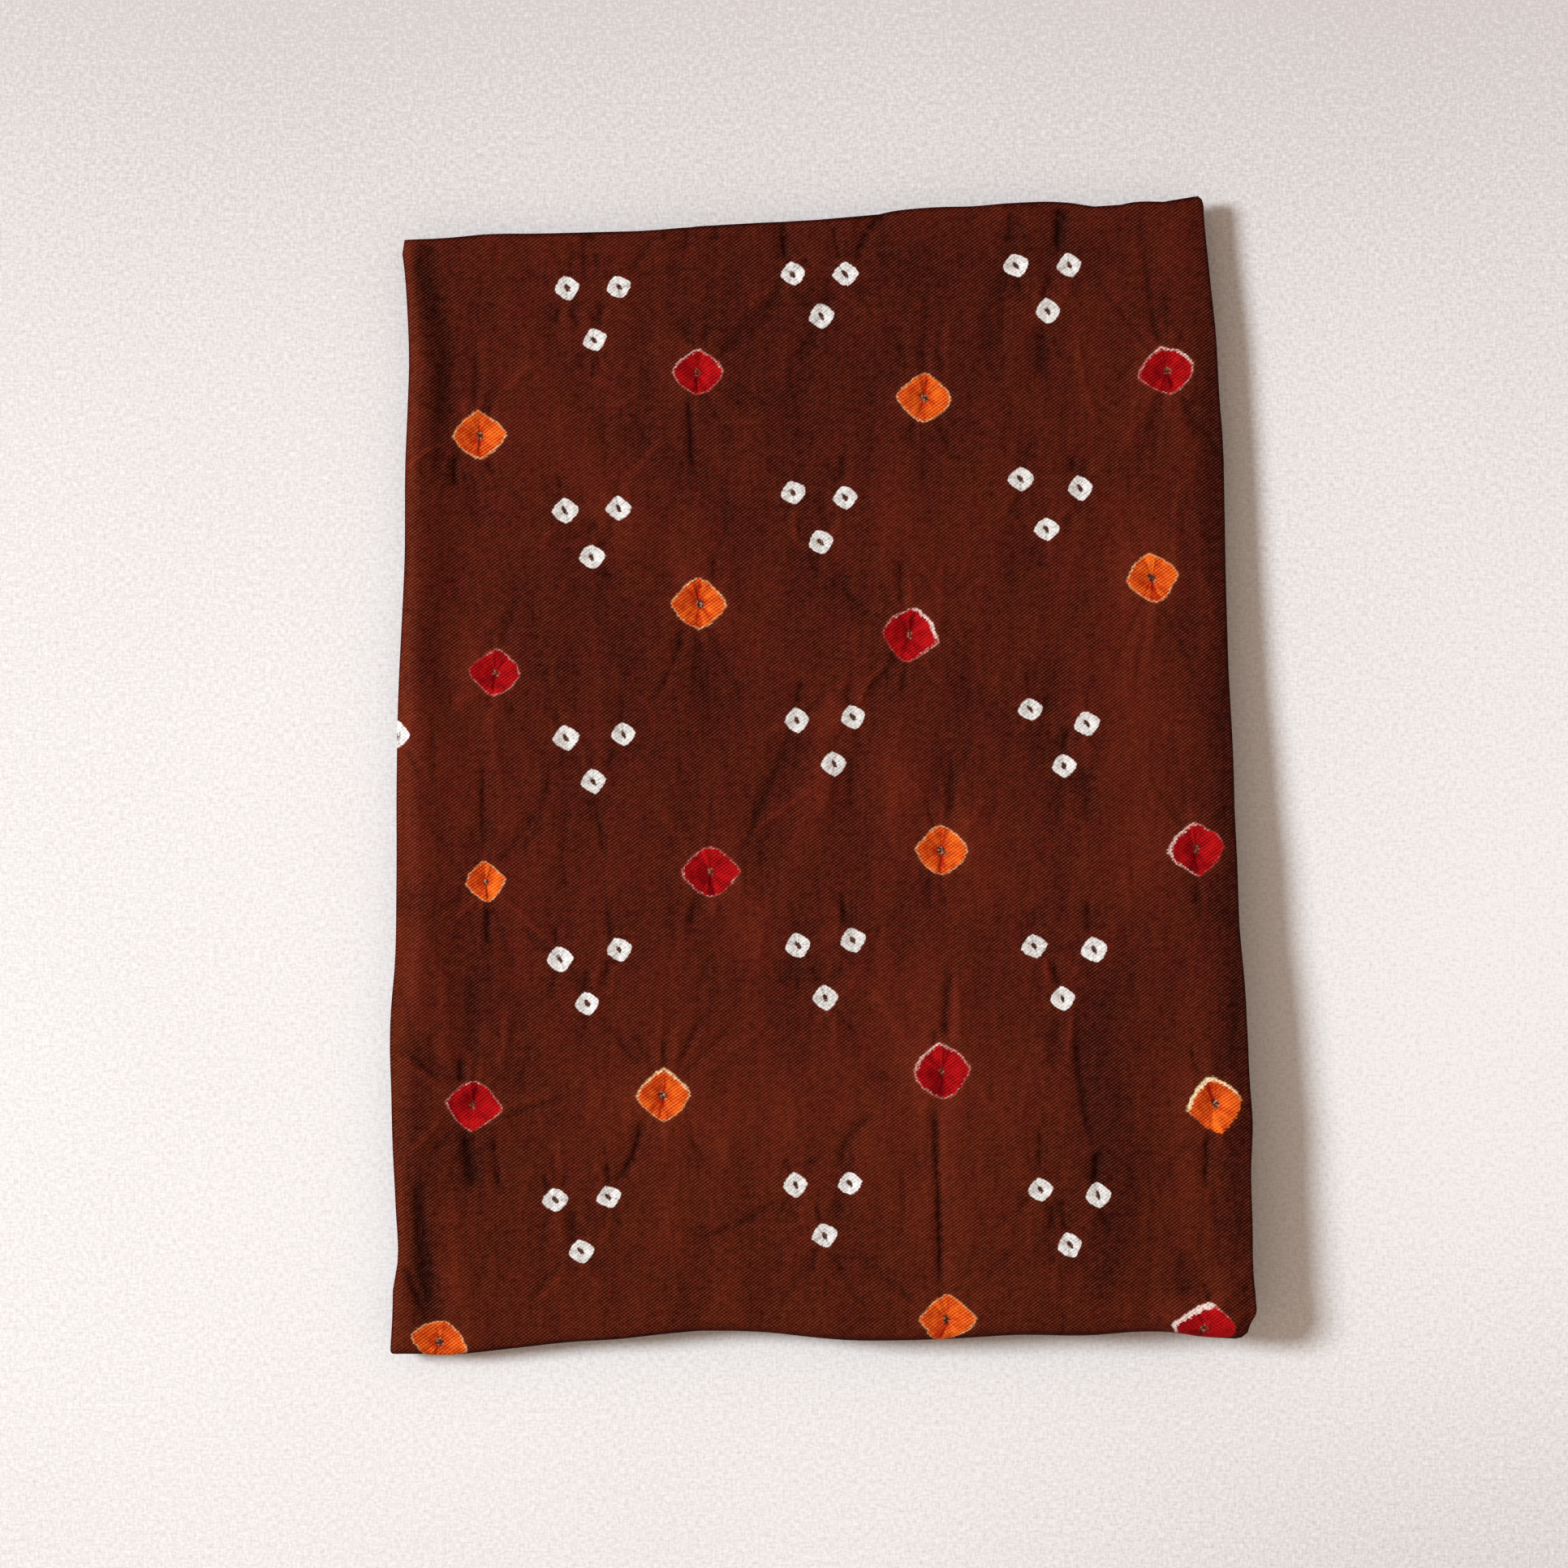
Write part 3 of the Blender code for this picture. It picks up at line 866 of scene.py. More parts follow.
def crease_depth(x, y, crease, softness):
    """Depth of one crease: a bell across its line, which tapers to nothing at both ends."""
    aside, along = place_in_crease(x, y, crease)
    taper = np.clip(along * (1 - along) * 8, 0, 1) ** 0.7
    return crease.depth * taper * bell(aside / softness)


def near(x, y, crease):
    """Which points lie in a box round a crease, with a margin for its width and bow."""
    margin = 4 * crease.width + abs(crease.bow)
    in_x = (x > min(crease.x0, crease.x1) - margin) & (x < max(crease.x0, crease.x1) + margin)
    return in_x & (y > min(crease.y0, crease.y1) - margin) & (y < max(crease.y0, crease.y1) + margin)


def gathers_of(tie, pucker, chance):
    """The gathers that run out of one tie, as creases, most of them nearly along the warp."""
    made = []
    for number in range(GATHERS):
        angle = radians(90 + 180 * (number % 2) + chance.normal(0, GATHER_SPREAD))
        inner = GATHER_START * tie.width
        outer = inner + pucker.reach / MM * chance.uniform(0.4, 1.0) ** 1.6
        depth = pucker.gather / MM * chance.uniform(0.4, 1.2) * chance.choice([1, 1, -0.8])
        made.append(
            Crease(
                tie.x + inner * cos(angle),
                tie.y + inner * sin(angle),
                tie.x + outer * cos(angle),
                tie.y + outer * sin(angle),
                depth,
                bow=chance.normal(0, 0.5),
                width=chance.uniform(1.0, 1.5),
            )
        )
    return made


def warp_waves(x, y):
    """Sum of seeded waves, most of them running along the warp."""
    chance = np.random.default_rng(5)
    total = np.zeros_like(x)
    for _ in range(WAVES):
        length = chance.uniform(SHORTEST_WAVE, LONGEST_WAVE)
        lean = chance.normal(0, 0.16)
        phase = chance.uniform(0, 2 * pi)
        drift = 0.7 * np.sin(y / (chance.uniform(14, 40) * MM) + chance.uniform(0, 2 * pi))
        wave = np.sin(2 * pi * (x + lean * y) / length + phase + drift)
        total += WAVE_SHARE * length * wave * np.sin(2 * pi * y / (chance.uniform(60, 200) * MM) + phase)
    return total


chance = np.random.default_rng(23)
puckers = [RING_PUCKER if tie.kind == WHITE else DOT_PUCKER for tie in ties[:TOP_TIES]]
creases = list(CREASES)
for tie, pucker in zip(ties, puckers):
    creases.extend(gathers_of(tie, pucker, chance))
for _ in range(FAINT_FOLDS):
    x, y = chance.uniform(*FAINT_X), chance.uniform(*FAINT_Y)
    run, lean = chance.uniform(*FAINT_RUN), chance.normal(0, 0.22)
    depth, width = chance.uniform(0.06, 0.20) * chance.choice([1, -1]), chance.uniform(0.8, 1.6)
    end_x, end_y = x + run * sin(lean), y - run * cos(lean)
    creases.append(Crease(x, y, end_x, end_y, depth, bow=chance.normal(0, 1.2), width=width))


def fine_relief(x, y):
    """Height of the top layer's own creases, puckers and waves.

    The pull multiplies every crease: it says how tightly the ties were bound.
    """
    total = warp_waves(x, y)
    x, y = x / MM, y / MM
    for tie, pucker in zip(ties, puckers):
        distance = np.hypot(x - tie.x, y - tie.y) / (tie.width / 2)
        total -= pucker.pit * bell(distance / PIT_SHARE)
        total += pucker.bank * bell((distance - 0.95) / 0.5)
    for crease in creases:
        here = near(x, y, crease)
        total[here] -= PULL * MM * crease_depth(x[here], y[here], crease, SOFTNESS)
    return total


fine_height = fine_relief(fine.x, fine.y)
print("fine relief in mm:", np.round(fine_height.min() / MM, 2), "to", np.round(fine_height.max() / MM, 2))

# %% [markdown]
# ## Settling the layers
# The broad relief fades downwards, so the packet lies flat on the floor. The fine relief
# belongs to the top layer, and a trough that would sink into the layer underneath
# settles on it instead. The sheet then gets its two faces: an outer one, half a
# thickness along the normal, and an inner one, which under the fine grid is a smoother
# skin that stays below every trough.

# %% Settle the layers and give the sheet its two faces
BROAD_FADE = 1.6
FINE_FADE = 14
TOP_LIFT = 0.45 * MM
LIFT_REACH = 7 * MM
CLEARANCE = 0.55 * MM
SETTLE_SOFTNESS = 0.12 * MM
SKIN_DROP = 0.5 * MM


def settled_height(folded, own_relief):
    """Height of the sheet's middle: its level, the shared relief and its own settled relief."""
    share = np.clip(folded.level / (LAYERS - 1), 0, 1)
    shared = broad_relief(folded.x, folded.y)
    below = ((LAYERS - 2) / (LAYERS - 1)) ** BROAD_FADE
    from_left = bell((folded.x - left_edge(folded.y)) / LIFT_REACH)
    from_front = bell((folded.y - column(FRONT_EDGE, "y").mean()) / LIFT_REACH)
    own_relief = own_relief + TOP_LIFT * (1 - from_left) * (1 - from_front)
    room = folded.spacing + shared * (1 - below) - CLEARANCE
    own = -room + SETTLE_SOFTNESS * np.logaddexp(0, (own_relief + room) / SETTLE_SOFTNESS)
    flat = SHEET_THICKNESS / 2 + folded.level * folded.spacing
    return flat + shared * share**BROAD_FADE + own * share**FINE_FADE


def face_normals(points):
    """Unit normals of a grid of points, from its rows' and columns' directions."""
    normal = np.cross(np.gradient(points, axis=0), np.gradient(points, axis=1))
    return normal / np.linalg.norm(normal, axis=2, keepdims=True)


fine_middle = np.stack([fine.x, fine.y, settled_height(fine, fine_height)], axis=2)
coarse_relief = fine_relief(coarse.x, coarse.y)
coarse_middle = np.stack([coarse.x, coarse.y, settled_height(coarse, coarse_relief)], axis=2)
fine_outer = fine_middle + face_normals(fine_middle) * SHEET_THICKNESS / 2
coarse_offset = face_normals(coarse_middle) * SHEET_THICKNESS / 2
coarse_outer = coarse_middle + coarse_offset
coarse_inner = coarse_middle - coarse_offset

padded = np.pad(fine_outer[:, :, 2], FINE, mode="edge")
low = padded.copy()
for step in range(1, 2 * FINE + 1):
    low = np.minimum(low, np.roll(padded, -step, axis=0))
lowest = low.copy()
for step in range(1, 2 * FINE + 1):
    lowest = np.minimum(lowest, np.roll(low, -step, axis=1))
skin = lowest[: -2 * FINE : FINE, : -2 * FINE : FINE] - SKIN_DROP
coarse_inner[FIRST_TOP_ROW:, : TOP_COLUMNS + 1, 2] = skin
print("highest point in mm:", np.round(fine_outer[:, :, 2].max() / MM, 2))
print("lowest point in mm:", np.round(coarse_outer[:, :, 2].min() / MM, 3))

# %% [markdown]
# ## Joining the grids into one closed sheet
# Cells of the two grids meet along the front and left folds. A cell there simply takes
# the fine points on its long side as extra corners, so nothing gapes. Narrow rims join
# the outer face to the inner one along the cut ends and the open edges.

# %% Join the faces
fine_rows_count, fine_columns_count = fine_outer.shape[:2]
rows_count, columns_count = coarse_outer.shape[:2]
fine_index = np.arange(fine_outer.size // 3).reshape(fine_rows_count, fine_columns_count)
outer_index = np.arange(coarse_outer.size // 3).reshape(rows_count, columns_count) + fine_index.size
inner_index = outer_index + outer_index.size
outer_index[FIRST_TOP_ROW:, : TOP_COLUMNS + 1] = fine_index[::FINE, ::FINE]


def cells(index):
    """Corners of every cell of a grid, turned so that its normal is row by column."""
    return np.stack([index[:-1, :-1], index[1:, :-1], index[1:, 1:], index[:-1, 1:]], axis=2)


def spans(line):
    """Each span of a fine line between two coarse places, with the points between them."""
    count = (len(line) - 1) // FINE
    return np.stack([line[step : step + count * FINE : FINE] for step in range(FINE + 1)], axis=1)


def rim(outer_spans, inner_line):
    """Cells that join spans of the outer face's border to the same places of the inner face."""
    return np.column_stack([outer_spans[:, ::-1], inner_line[:-1], inner_line[1:]])


def pairs(line):
    """Each span of a coarse line, from one place to the next."""
    return np.column_stack([line[:-1], line[1:]])


top, left = FIRST_TOP_ROW, TOP_COLUMNS
outer_cells = cells(outer_index)
keep = np.ones(outer_cells.shape[:2], dtype=bool)
keep[top:, :left] = False
keep[top - 1, :left] = False
keep[top:, left] = False
front_line, left_line = spans(fine_index[0]), spans(fine_index[:, -1])
front_join = np.column_stack([outer_index[top - 1, :left], front_line, outer_index[top - 1, 1 : left + 1]])
left_join = np.column_stack([left_line, outer_index[top + 1 :, left + 1], outer_index[top:-1, left + 1]])
face_groups = [
    cells(fine_index).reshape(-1, 4),
    outer_cells[keep],
    cells(inner_index).reshape(-1, 4)[:, ::-1],
    front_join,
    left_join,
    rim(spans(fine_index[-1]), inner_index[-1, : left + 1]),
    rim(spans(fine_index[:, 0]), inner_index[top:, 0]),
    rim(pairs(outer_index[-1, left:]), inner_index[-1, left:]),
    rim(pairs(outer_index[: top + 1, 0]), inner_index[: top + 1, 0]),
    rim(pairs(outer_index[:, -1]), inner_index[:, -1])[:, ::-1],
    rim(pairs(outer_index[0]), inner_index[0])[:, ::-1],
]
triangles = sum(len(group) * (group.shape[1] - 2) for group in face_groups)
print("faces:", sum(len(group) for group in face_groups), "triangles:", triangles)

# %% [markdown]
# ## Places on the unrolled sheet
# The dye doesn't know about the folds, so its places are those of the flat sheet. On the
# top layer they are simply X and Y. Past the folds they go on by the distance travelled
# along the cloth.

# %% Unroll the sheet
unrolled = np.empty((rows_count, columns_count, 2))
unrolled[top:, : left + 1, 0] = coarse.x[top:, : left + 1]
across_steps = np.linalg.norm(np.diff(coarse_middle[top:, left:], axis=1), axis=2)
unrolled[top:, left + 1 :, 0] = coarse.x[top:, left, None] - np.cumsum(across_steps, axis=1)
unrolled[:top, :, 0] = unrolled[top, :, 0]
unrolled[top:, : left + 1, 1] = coarse.y[top:, : left + 1]
unrolled[top:, left + 1 :, 1] = coarse.y[top:, left, None]
along_steps = np.linalg.norm(np.diff(coarse_middle[: top + 1], axis=0), axis=2)
unrolled[:top, :, 1] = unrolled[top, :, 1] - np.cumsum(along_steps[::-1], axis=0)[::-1]
fine_unrolled = np.stack([fine.x, fine.y], axis=2)
flat_size = np.ptp(unrolled.reshape(-1, 2), axis=0)
print("unrolled sheet in mm:", np.round(flat_size / MM))

# %% [markdown]
# ## The mesh and its maps
# One map holds each corner's place on the unrolled sheet, in millimetres. Each face also
# learns its nearest tie, and two more maps say where its corners lie in that tie: one is
# measured in the tie's own outline, the other in the patch that took the coloured dye.

# %% Make the mesh and its maps
CORNER_ANGLE = radians(60)
vertices = np.concatenate([part.reshape(-1, 3) for part in (fine_outer, coarse_outer, coarse_inner)])
mesh = bpy.data.meshes.new("bandhani_cloth")
used = np.unique(np.concatenate([group.ravel() for group in face_groups]))
new_index = np.full(len(vertices), -1)
new_index[used] = np.arange(len(used))
faces = [corners for group in face_groups for corners in new_index[group].tolist()]
mesh.from_pydata(vertices[used].tolist(), [], faces)
mesh.shade_smooth()
mesh.set_sharp_from_angle(angle=CORNER_ANGLE)

loop_vertex = np.empty(len(mesh.loops), dtype=int)
mesh.loops.foreach_get("vertex_index", loop_vertex)
loop_start = np.empty(len(mesh.polygons), dtype=int)
mesh.polygons.foreach_get("loop_start", loop_start)
loop_total = np.diff(np.append(loop_start, len(loop_vertex)))
vertex_place = np.concatenate([part.reshape(-1, 2) for part in (fine_unrolled, unrolled, unrolled)])[used]
loop_place = vertex_place[loop_vertex] / MM
face_place = np.add.reduceat(loop_place, loop_start, axis=0) / loop_total[:, None]

nearest = np.zeros(len(loop_start), dtype=int)
nearest_distance = np.full(len(loop_start), np.inf)
for number, tie in enumerate(ties):
    distance = np.hypot(face_place[:, 0] - tie.x, face_place[:, 1] - tie.y) - tie.width / 2
    closer = distance < nearest_distance
    nearest[closer] = number
    nearest_distance[closer] = distance[closer]


def add_map(name, values):
    """A map with one place for each corner of each face."""
    layer = mesh.uv_layers.new(name=name)
    layer.data.foreach_set("uv", values.ravel().astype(np.float32))


def add_mark(name, kind, domain, field, values):
    """A named value on each point or face."""
    mark = mesh.attributes.new(name, kind, domain)
    mark.data.foreach_set(field, np.asarray(values, dtype=np.float32).ravel())


loop_tie = {name: values[np.repeat(nearest, loop_total)] for name, values in tie_table.items()}
turn = np.radians(loop_tie["turn"])
from_tie = loop_place - np.column_stack([loop_tie["x"], loop_tie["y"]])
in_tie = np.column_stack(
    [
        (from_tie[:, 0] * np.cos(turn) + from_tie[:, 1] * np.sin(turn)) / (loop_tie["width"] / 2),
        (from_tie[:, 1] * np.cos(turn) - from_tie[:, 0] * np.sin(turn)) / (loop_tie["height"] / 2),
    ]
)
shift = np.column_stack([loop_tie["shift_x"], loop_tie["shift_y"]])
add_map("sheet", loop_place)
add_map("tie", in_tie)
add_map("dye", (in_tie - shift) / loop_tie["fill"][:, None])
print("maps:", [layer.name for layer in mesh.uv_layers])

# %% [markdown]
# ## Marks of the creases, the painted light and the relief
# A face keeps its tie's kind and number. It can lie in many creases, so it keeps only the
# deepest one, with its place along and aside of that crease, and the finish draws the
# crease's dark line of painted shade finer than the grid could. Each point keeps the
# strength of its bands of painted light and shade, its edge light, which is a painted
# highlight along the left fold and painted shade where every edge turns away from the
# light, and its relief, whose troughs get painted shade and whose ridges a painted highlight.

# %% Mark the creases, the painted bands, the painted edge light and the relief
MARK_SOFTNESS = 1.6
FAINTEST_MARK = 0.02
NUMBER_STEP = 0.618
FOLD_HIGHLIGHT_WIDTH = 4 * MM
EDGE_SHADE = 2.5
EDGE_SHADE_WIDTH = 0.65 * MM
strongest = np.zeros(len(loop_start), dtype=int)
strongest_depth = np.zeros(len(loop_start))
for number, crease in enumerate(creases):
    here = np.flatnonzero(near(face_place[:, 0], face_place[:, 1], crease))
    depth = np.abs(crease_depth(face_place[here, 0], face_place[here, 1], crease, MARK_SOFTNESS))
    stronger = here[depth > strongest_depth[here]]
    strongest_depth[stronger] = depth[depth > strongest_depth[here]]
    strongest[stronger] = number
crease_table = {name: np.array([getattr(crease, name) for crease in creases]) for name in Crease._fields}
loop_crease = Crease(*[crease_table[name][np.repeat(strongest, loop_total)] for name in Crease._fields])
add_map("crease", np.column_stack(place_in_crease(loop_place[:, 0], loop_place[:, 1], loop_crease)))
mark_depth = np.where(strongest_depth > FAINTEST_MARK, crease_table["depth"][strongest], 0)
add_mark("crease_depth", "FLOAT", "FACE", "value", mark_depth)
tie_number = (nearest * NUMBER_STEP) % 1
kind_and_number = np.column_stack([tie_table["kind"][nearest], tie_number, 0 * tie_number])
add_mark("tie_kind", "FLOAT_VECTOR", "FACE", "vector", kind_and_number)

x, y = vertices[:, 0], vertices[:, 1]
painted_band_shade = np.zeros(len(vertices))
# Strength of the bands of painted light and shade at each point.
for shade_band in SHADE_BANDS:
    painted_band_shade += crease_depth(x / MM, y / MM, shade_band, 1.0)
add_mark("painted_band_shade", "FLOAT", "POINT", "value", painted_band_shade[used])
from_left = x - left_edge(y)
from_right = right_edge(y) - x
from_front = y - np.interp(x, column(FRONT_EDGE, "x"), column(FRONT_EDGE, "y"))
from_back = np.interp(x, column(BACK_EDGE, "x"), column(BACK_EDGE, "y")) - y
from_edge = np.minimum.reduce([from_left, from_right, from_front, from_back])
# Painted highlight along the left fold, and painted shade along every edge.
fold_highlight = bell(np.clip(from_left, 0, None) / FOLD_HIGHLIGHT_WIDTH)
painted_edge_light = fold_highlight - EDGE_SHADE * bell(np.clip(from_edge, 0, None) / EDGE_SHADE_WIDTH)
# The top layer's relief, from which the colour paints shade into troughs and a highlight onto ridges.
relief = np.concatenate([fine_height.ravel(), np.zeros(2 * coarse_relief.size)])
add_mark("painted_edge_light", "FLOAT", "POINT", "value", painted_edge_light[used])
add_mark("relief", "FLOAT", "POINT", "value", relief[used] / MM)
cloth = bpy.data.objects.new("bandhani_cloth", mesh)
bpy.context.scene.collection.objects.link(cloth)
print("points:", len(mesh.vertices))

# %% [markdown]
# ## Shader sums in plain Python
# A finish is a sum over places on the cloth, so it reads best as one. This class wraps a
# shader socket and lets Python's operators make the Math nodes. Its `node` method adds
# any other node, with its settings first and then its sockets.

# %% Wrap a shader socket
MIX_FACTOR, MIX_A, MIX_B, MIX_RESULT = 0, 6, 7, 2


class Term:
    """One output socket of a shader tree, which can be used in Python sums."""

    def __init__(self, tree, socket):
        self.tree = tree
        self.socket = socket

    def node(self, kind, inputs, output=0, **settings):
        """Any node of the same tree: its settings first, then its sockets' values or links."""
        made = self.tree.nodes.new(kind)
        for name, value in settings.items():
            setattr(made, name, value)
        for name, value in inputs.items():
            if isinstance(value, Term):
                self.tree.links.new(value.socket, made.inputs[name])
            else:
                made.inputs[name].default_value = value
        return Term(self.tree, made.outputs[output])

    def math(self, operation, *terms):
        """One Math node over this tree's terms and plain numbers."""
        return self.node("ShaderNodeMath", dict(enumerate(terms)), operation=operation)

    def __add__(self, other):
        return self.math("ADD", self, other)

    def __radd__(self, other):
        return self.math("ADD", other, self)

    def __sub__(self, other):
        return self.math("SUBTRACT", self, other)

    def __rsub__(self, other):
        return self.math("SUBTRACT", other, self)

    def __mul__(self, other):
        return self.math("MULTIPLY", self, other)

    def __rmul__(self, other):
        return self.math("MULTIPLY", other, self)

    def __truediv__(self, other):
        return self.math("DIVIDE", self, other)

    def __pow__(self, other):
        return self.math("POWER", self, other)

    def __abs__(self):
        return self.math("ABSOLUTE", self)

    def step(self, low, high):
        """0 below the low value, 1 above the high one, and smooth between them."""
        limits = {"Value": self, "From Min": low, "From Max": high, "To Min": 0.0, "To Max": 1.0}
        return self.node("ShaderNodeMapRange", limits, interpolation_type="SMOOTHSTEP")

    def mix(self, at_zero, at_one, blend_type="MIX"):
        """Blend two colours with this term as the factor."""
        inputs = {MIX_FACTOR: self, MIX_A: at_zero, MIX_B: at_one}
        settings = {"data_type": "RGBA", "blend_type": blend_type, "clamp_factor": True}
        return self.node("ShaderNodeMix", inputs, output=MIX_RESULT, **settings)

    def xyz(self):
        """The three parts of a vector."""
        return [self.node("ShaderNodeSeparateXYZ", {"Vector": self}, output=part) for part in range(3)]


def vector(x, y, z):
    """A vector from three terms or numbers, of which the first is a term."""
    return x.node("ShaderNodeCombineXYZ", {"X": x, "Y": y, "Z": z})


def noise(place, scale, detail=2.0, roughness=0.5):
    """Cloudy noise around 0.5 at a place in mm, with a scale in clouds per mm."""
    inputs = {"Vector": place, "Scale": scale, "Detail": detail, "Roughness": roughness}
    return place.node("ShaderNodeTexNoise", inputs)


def new_finish(name):
    """An empty material, its shader node and a first term to start sums from."""
    material = bpy.data.materials.new(name)
    material.use_nodes = True
    tree = material.node_tree
    shader = tree.nodes["Principled BSDF"]
    first = Term(tree, tree.nodes.new("ShaderNodeTexCoord").outputs["Object"])
    return material, shader, first


def connect(shader, name, term):
    """Feed a varying term to one socket of the shader."""
    term.tree.links.new(term.socket, shader.inputs[name])


def linear(red, green, blue):
    """A colour given as it looks on a screen, from 0 to 255, as linear light."""
    parts = np.array([red, green, blue]) / 255
    curve = np.where(parts < 0.04045, parts / 12.92, ((parts + 0.055) / 1.055) ** 2.4)
    return (*curve.tolist(), 1.0)


material, shader, first = new_finish("dyed cotton")
place = first.node("ShaderNodeUVMap", {}, uv_map="sheet")
u, v, _ = place.xyz()
print("material:", material.name)

# %% [markdown]
# ## The weave
# Plain cotton has warp threads along its length and weft threads across. The yarns are
# twisted, so each one that comes to the top shows as a short slanted dash. Threads vary
# in thickness, which makes faint lines that run far along and across the cloth, and a
# nap of short fibres roughens the whole.

# %% Weave the ground
WARP_PITCH = 0.81
WEFT_PITCH = 0.60
stray_thread = noise(vector(u, v, 12.0), 0.12, detail=1.0) - 0.5
warp = u / WARP_PITCH + stray_thread * 1.2
weft = v / WEFT_PITCH + stray_thread * 0.8
right_slant = ((warp - weft) * pi).math("COSINE", (warp - weft) * pi)
left_slant = ((warp + weft) * pi).math("COSINE", (warp + weft) * pi)
crossing = vector(warp.math("FLOOR", warp), weft.math("FLOOR", weft), 0.0)
yarn = first.node("ShaderNodeTexWhiteNoise", {"Vector": crossing}) - 0.5
uneven = noise(vector(u, v * 1.2, 0.0), 0.4, detail=2.0) - 0.5
plain_weave = right_slant * 0.42 - left_slant * 0.20
dash = 0.5 + plain_weave * (1 + uneven * 2.5) + uneven * 0.5
warp_lines = noise(vector(u * 2.2, v * 0.10, 3.0), 1.0) - 0.5
weft_lines = noise(vector(u * 0.10, v * 2.4, 7.0), 1.0) - 0.5
threads = warp_lines + weft_lines * 0.9
nap = noise(vector(u, v, 21.0), 0.75, detail=3.0, roughness=0.65) - 0.5

# %% [markdown]
# ## The brown ground
# The last dye bath is a dark reddish brown. It takes unevenly: cloudy at the size of a
# hand, streaky along the warp and browner towards the front. Painted light comes on top:
# bands of painted light and shade, a paler and browner painted highlight along the left
# fold, painted shade at the edges and in the troughs, and a painted highlight on the ridges.
# The tops of the yarns get a faint painted highlight.

# %% Dye the ground
DARK_BROWN = linear(38, 6, 3)
LIGHT_BROWN = linear(193, 76, 31)
LIGHT_CRIMSON = linear(190, 60, 42)
YARN_GLINT = linear(180, 132, 114)
MEAN_TONE = 0.101
BROWN_FRONT = -170.0
BROWN_END = -50.0
relief_mark = first.node("ShaderNodeAttribute", {}, output=2, attribute_name="relief")
painted_edge_light_mark = first.node("ShaderNodeAttribute", {}, output=2, attribute_name="painted_edge_light")
painted_band_mark = first.node("ShaderNodeAttribute", {}, output=2, attribute_name="painted_band_shade")
mottle = noise(vector(u, v * 0.6, 1.0), 0.06, detail=3.0, roughness=0.6) - 0.5
streaks = noise(vector(u, v * 0.12, 5.0), 0.35, detail=3.0, roughness=0.6) - 0.5
crease_place = first.node("ShaderNodeUVMap", {}, uv_map="crease")
crease_mark = first.node("ShaderNodeAttribute", {}, output=2, attribute_name="crease_depth")
aside, along, _ = crease_place.xyz()
wobble = noise(vector(u, v, 15.0), 0.22, detail=3.0) - 0.5
aside = aside + wobble * 1.3
core = (aside * aside * -1.0).math("EXPONENT", aside * aside * -1.0)
broken = noise(vector(u, v, 25.0), 0.3).step(0.20, 0.50)
sharp_crease = core * broken * along.step(0.0, 0.25) * (1 - along.step(0.75, 1.0)) * crease_mark
tone = (
    MEAN_TONE
    + (dash - 0.5) * 0.15
    + threads * 0.14
    + nap * 0.24
    + mottle * 0.08
    + streaks * 0.09
    # painted light and shade of the broad folds
    + painted_band_mark * 0.032
    # painted shade in the troughs, painted highlight on the ridges
    + relief_mark * 0.045
    # painted highlight at the left fold, painted shade at the edges
    + painted_edge_light_mark * 0.05
    # dark crease line: painted shade, and a painted highlight where the depth is negative
    - sharp_crease * 0.10
)
# The left fold's painted highlight is browner as well, and the edges' painted shade redder.
browner = 0.18 * (1 - v.step(BROWN_FRONT, BROWN_END)) + painted_edge_light_mark * 0.30 - 0.05
redness = noise(vector(u, v * 0.7, 18.0), 0.12, detail=3.0) - (dash - 0.5) * 0.35 + nap * 0.5 - browner
hue = redness.step(0.15, 0.85)
dyed = tone.mix(DARK_BROWN, hue.mix(LIGHT_BROWN, LIGHT_CRIMSON))
# Painted highlight on the tops of the yarns, a little stronger on the left fold's painted highlight.
glint = dash.step(0.45, 1.15) * (0.065 + painted_edge_light_mark * 0.02)
ground = glint.mix(dyed, YARN_GLINT)
print("shader nodes for the ground:", len(material.node_tree.nodes))

# %% [markdown]
# ## The outline of a tie
# A pinch that is bound with thread opens into a rounded diamond. Its outline is a
# superellipse, whose power lies between a diamond's 1 and a circle's 2, and orange dots
# are the more pointed ones. Slow noise bends the outline out of true, and quick noise
# frays it where dye crept along single threads.

# %% Outline the ties
tie_place = first.node("ShaderNodeUVMap", {}, uv_map="tie")
dye_place = first.node("ShaderNodeUVMap", {}, uv_map="dye")
kind_mark = first.node("ShaderNodeAttribute", {}, output=1, attribute_name="tie_kind")
kind, number, _ = kind_mark.xyz()
is_large = kind.step(0.4, 0.6)
is_red = kind.step(1.4, 1.6)
ROUND_POWER = 1.42
POINTED_POWER = 1.33
outline_power = ROUND_POWER - is_large * (1 - is_red) * (ROUND_POWER - POINTED_POWER)


def outline(map_place):
    """Superellipse measure of a tie: less than 1 inside its outline, more outside."""
    p, q, _ = map_place.xyz()
    return abs(p) ** outline_power + abs(q) ** outline_power


bend = noise(vector(u, v, number * 40), 0.16, detail=1.0)
fray = noise(vector(u, v, 2.0), 1.3, detail=2.0, roughness=0.7)
waver = (bend - 0.5) * 0.32 + (fray - 0.5) * (0.30 - is_large * 0.16) + yarn * 0.08
tie_edge = outline(tie_place) + waver
creep = (noise(vector(u, v, 9.0), 0.5) - 0.5) * 0.14 + yarn * 0.04
dye_edge = outline(dye_place) + waver + creep
tied = 1 - tie_edge.step(0.95, 1.05)
coloured = (1 - dye_edge.step(0.93, 1.03)) * is_large
wide_rim = (outline(dye_place) - outline(tie_place)).step(0.07, 0.20)
print("shader nodes with the outlines:", len(material.node_tree.nodes))
